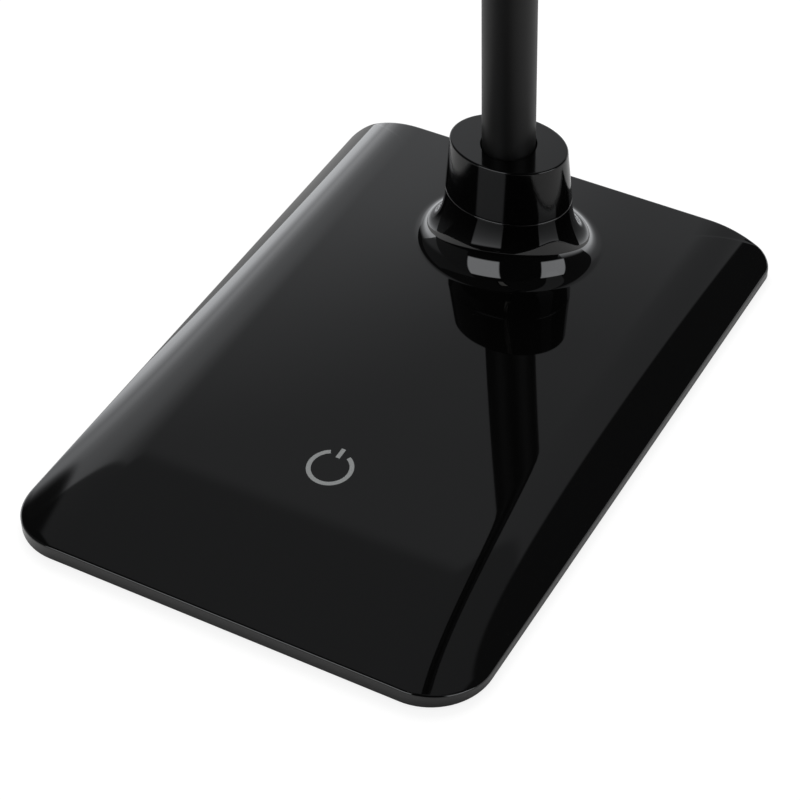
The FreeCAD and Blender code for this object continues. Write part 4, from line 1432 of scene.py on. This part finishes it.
@dataclass(frozen=True)
class Window:
    """Soft box seen in the gloss only: headings from the front towards the right, and heights."""

    left: float
    right: float
    low: float
    high: float
    level: float
    softness: float = 0.02

    def over(self, nodes: Nodes, ray: Ray, level: Socket) -> Socket:
        """Add the window's light to the brightness behind it."""
        share = None
        edges = (
            (ray.heading, self.left, 1), (ray.heading, self.right, -1),
            (ray.height, self.low, 1), (ray.height, self.high, -1))
        for value, edge, sign in edges:
            place, half = math.radians(edge), sign * self.softness
            step = nodes.step(value, place - half, place + half)
            share = step if share is None else nodes.calculate("MULTIPLY", share, step)
        return nodes.calculate("ADD", level, nodes.calculate("MULTIPLY", share, self.level))


@dataclass(frozen=True)
class Glow:
    """Round brighter part of the sweep."""

    azimuth: float
    elevation: float
    inner: float
    outer: float
    gain: float

    def over(self, nodes: Nodes, ray: Ray, level: Socket) -> Socket:
        """Raise the brightness round the glow's middle."""
        turn, lift = math.radians(self.azimuth), math.radians(self.elevation)
        middle = (-math.sin(turn) * math.cos(lift), math.cos(turn) * math.cos(lift), math.sin(lift))
        outer, inner = math.cos(math.radians(self.outer)), math.cos(math.radians(self.inner))
        share = nodes.step(nodes.dot(ray.direction, middle), outer, inner)
        raised = nodes.calculate("MULTIPLY", share, self.gain)
        return nodes.calculate("MULTIPLY", level, nodes.calculate("ADD", raised, 1.0))


@dataclass
class Studio:
    """Pale floor, soft light and the photograph's camera."""

    camera_place: Triple = (231.926, -402.636, 435.797)
    camera_right: Triple = (0.8753489, 0.48299374, -0.0219373)
    camera_down: Triple = (0.3166916, -0.60705571, -0.72882772)
    lens: float = 119.085
    sensor: float = 36.0
    clip_m: tuple[float, float] = (0.01, 20.0)
    floor_half_m: float = 3.0
    floor_glow: float = 0.84
    # Line in front of which mirrored rays see the floor as painted shade, a painted dark reflection;
    # the camera still sees the floor white there
    mirror_shade_front_m: float = -0.16
    mirror_shade_fade_m: float = 0.03
    fill: float = 0.6
    key_place_m: Triple = (-0.5, 0.7, 1.5)
    key_size_m: tuple[float, float] = (1.2, 0.9)
    key_watts: float = 14.0
    sweep_levels: tuple[tuple[float, float], ...] = (
        (-10.0, 3.0), (7.0, 3.0), (12.0, 2.0), (16.0, 1.4), (20.0, 1.1), (25.0, 0.78), (30.0, 0.64),
        (37.0, 0.6), (40.0, 0.53), (42.0, 0.44), (44.0, 0.38), (48.0, 0.35), (90.0, 0.33),
    )
    parts: tuple[Glow | Panel | Window, ...] = (
        Glow(42.0, 30.0, 12.8, 18.2, 0.6),
        Panel((0.019, -1.472, 1.0), 0.008, 0.22, 0.0),
        Panel((1.0, -0.758, 0.474), 0.012, 0.05, 3.0),
        Panel((-1.0, -2.657, 1.141), 0.008, 0.22, 30.0),
        Panel((-1.0, -1.615, 0.263), 0.004, 0.03, 24.0),
        Panel((0.0, -1.4, -1.0), 0.03, 0.02, -15.0),
        Window(-35.5, 1.5, 8.0, 44.0, 3.2),
        Window(57.0, 98.0, 8.0, 44.0, 3.2),
        Window(-112.0, -37.0, 0.0, 55.0, 0.08),
    )

    def build(self) -> None:
        """Build floor, world, lamp and camera."""
        self.floor()
        self.world()
        self.key_light()
        self.camera()
        bpy.context.scene.view_settings.view_transform = "Standard"

    def floor(self) -> None:
        """White table top that keeps a faint shadow. Mirrored rays see it painted dark in front of a
        line across the lamp's front, a painted dark reflection in the gloss, while the camera sees it
        white.
        """
        half = self.floor_half_m
        mesh = bpy.data.meshes.new("floor")
        corners = [(-half, -half, 0.0), (half, -half, 0.0), (half, half, 0.0), (-half, half, 0.0)]
        mesh.from_pydata(corners, [], [(0, 1, 2, 3)])
        floor = new_object("floor", mesh)
        material, nodes = new_material("table_painted_white")
        rays = nodes.add("ShaderNodeLightPath").outputs
        seen = nodes.calculate("MAXIMUM", rays["Is Camera Ray"], rays["Is Transmission Ray"])
        place = nodes.out("ShaderNodeTexCoord", output="Object")
        y = nodes.out("ShaderNodeSeparateXYZ", {0: place}, "Y")
        behind = nodes.step(y, self.mirror_shade_front_m, self.mirror_shade_front_m + self.mirror_shade_fade_m)
        plain, dark, soft = (
            nodes.out("ShaderNodeBsdfDiffuse", {"Color": linear(colour)})
            for colour in ("E8E8E8", "202020", "808080"))
        white = nodes.out(
            "ShaderNodeEmission", {"Color": linear("FFFFFF"), "Strength": self.floor_glow})
        bright = nodes.out("ShaderNodeAddShader", {0: soft, 1: white})
        # Painted dark reflection: rays mirrored by the gloss see the floor's front dark, while the
        # camera sees it white
        mirrored = nodes.choose(behind, dark, plain)
        hidden = nodes.choose(rays["Is Glossy Ray"], plain, mirrored)
        surface = nodes.choose(seen, hidden, bright)
        nodes.add("ShaderNodeOutputMaterial", {"Surface": surface})
        floor.data.materials.append(material)
        floor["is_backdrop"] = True

    def world(self) -> None:
        """White surroundings; mirrored rays see the studio instead."""
        world = bpy.data.worlds.new("studio")
        bpy.context.scene.world = world
        world.use_nodes = True
        world.node_tree.nodes.clear()
        nodes = Nodes(world.node_tree)
        rays = nodes.add("ShaderNodeLightPath").outputs
        mirrored, plain, white = (
            nodes.out("ShaderNodeBackground", {"Color": linear(colour), "Strength": strength})
            for colour, strength in (
                ("FAFCFF", self.room(nodes)), ("FFFFFF", self.fill), ("FFFFFF", 1.0)))
        lit = nodes.choose(rays["Is Glossy Ray"], plain, mirrored)
        seen = nodes.calculate("MAXIMUM", rays["Is Camera Ray"], rays["Is Transmission Ray"])
        nodes.add("ShaderNodeOutputWorld", {"Surface": nodes.choose(seen, lit, white)})

    def room(self, nodes: Nodes) -> Socket:
        """Brightness of the studio that the gloss mirrors."""
        direction = nodes.out("ShaderNodeTexCoord", output="Generated")
        axes = nodes.add("ShaderNodeSeparateXYZ", {0: direction}).outputs
        height = nodes.calculate("ARCSINE", axes["Z"], 0.0)
        forward = nodes.calculate("MULTIPLY", axes["Y"], -1.0)
        ray = Ray(direction, height, nodes.calculate("ARCTAN2", axes["X"], forward))
        level = self.sweep(nodes, height)
        for part in self.parts:
            level = part.over(nodes, ray, level)
        return level

    def sweep(self, nodes: Nodes, height: Socket) -> Socket:
        """Brightness of the lit backdrop by height in radians."""
        lowest, highest = self.sweep_levels[0][0], self.sweep_levels[-1][0]
        share = nodes.step(height, math.radians(lowest), math.radians(highest), "LINEAR")
        ramp = nodes.add("ShaderNodeValToRGB", {"Fac": share})
        band = ramp.color_ramp
        while len(band.elements) < len(self.sweep_levels):
            band.elements.new(0.5)
        peak = max(level for _, level in self.sweep_levels)
        for element, (degrees, level) in zip(band.elements, self.sweep_levels):
            element.position = (degrees - lowest) / (highest - lowest)
            element.color = (level / peak, level / peak, level / peak, 1.0)
        return nodes.calculate("MULTIPLY", ramp.outputs["Color"], peak)

    def key_light(self) -> None:
        """One large soft box above the lamp, which shapes the dull surfaces."""
        light = bpy.data.lights.new("key_soft_box", "AREA")
        light.shape = "RECTANGLE"
        light.size, light.size_y = self.key_size_m
        light.energy = self.key_watts
        lamp = bpy.data.objects.new("key_soft_box", light)
        lamp.location = self.key_place_m
        lamp.rotation_euler = (-lamp.location).to_track_quat("-Z", "Y").to_euler()
        lamp.visible_glossy = False
        bpy.context.scene.collection.objects.link(lamp)

    def camera(self) -> None:
        """Camera at the photograph's place."""
        data = bpy.data.cameras.new("camera")
        data.sensor_width = self.sensor
        data.lens = self.lens
        data.clip_start, data.clip_end = self.clip_m
        camera = bpy.data.objects.new("camera", data)
        right = Vector(self.camera_right).normalized()
        up = -Vector(self.camera_down).normalized()
        matrix = Matrix((right, up, right.cross(up).normalized())).transposed().to_4x4()
        matrix.translation = [value * MM for value in self.camera_place]
        camera.matrix_world = matrix
        bpy.context.scene.collection.objects.link(camera)
        bpy.context.scene.camera = camera


def main() -> None:
    """Build the lamp's looks piece by piece."""
    cover = BaseCover()
    settle(cover.build(), GLOSS_COVER, ["base_cover"], "base")
    settle(PowerMark(cover).build(), MARK_INK, ["power_mark"], "base")
    settle(Collar().build(), GLOSS_COLLAR, ["collar"], "base")
    Neck().build()
    head = Head()
    head.build()
    fastenings = Fastenings()
    underside = Underside()
    settle(underside.pad(), PAD_RUBBER, ["anti_slip_pad"], "base")
    base_screws = fastenings.set_out(
        "base_screw_set", ScrewShape().build(), underside.screw_places(), underside.pad_thickness)
    settle(base_screws, FASTENER_STEEL, ["base_screws"], "base")
    bezel_screws = fastenings.set_out(
        "bezel_screw_set", ScrewShape(length=6.0).build(), head.screw_places(), head.under)
    settle(bezel_screws, FASTENER_STEEL, ["bezel_screws"], "head")
    dress_solids()
    Studio().build()


if __name__ == "__main__":
    logging.basicConfig(level=logging.INFO, format="%(message)s")
    main()
    sizes = {"cad": CAD_BOX, "now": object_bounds()}
    {key: [list(map(float, end)) for end in box] for key, box in sizes.items()}
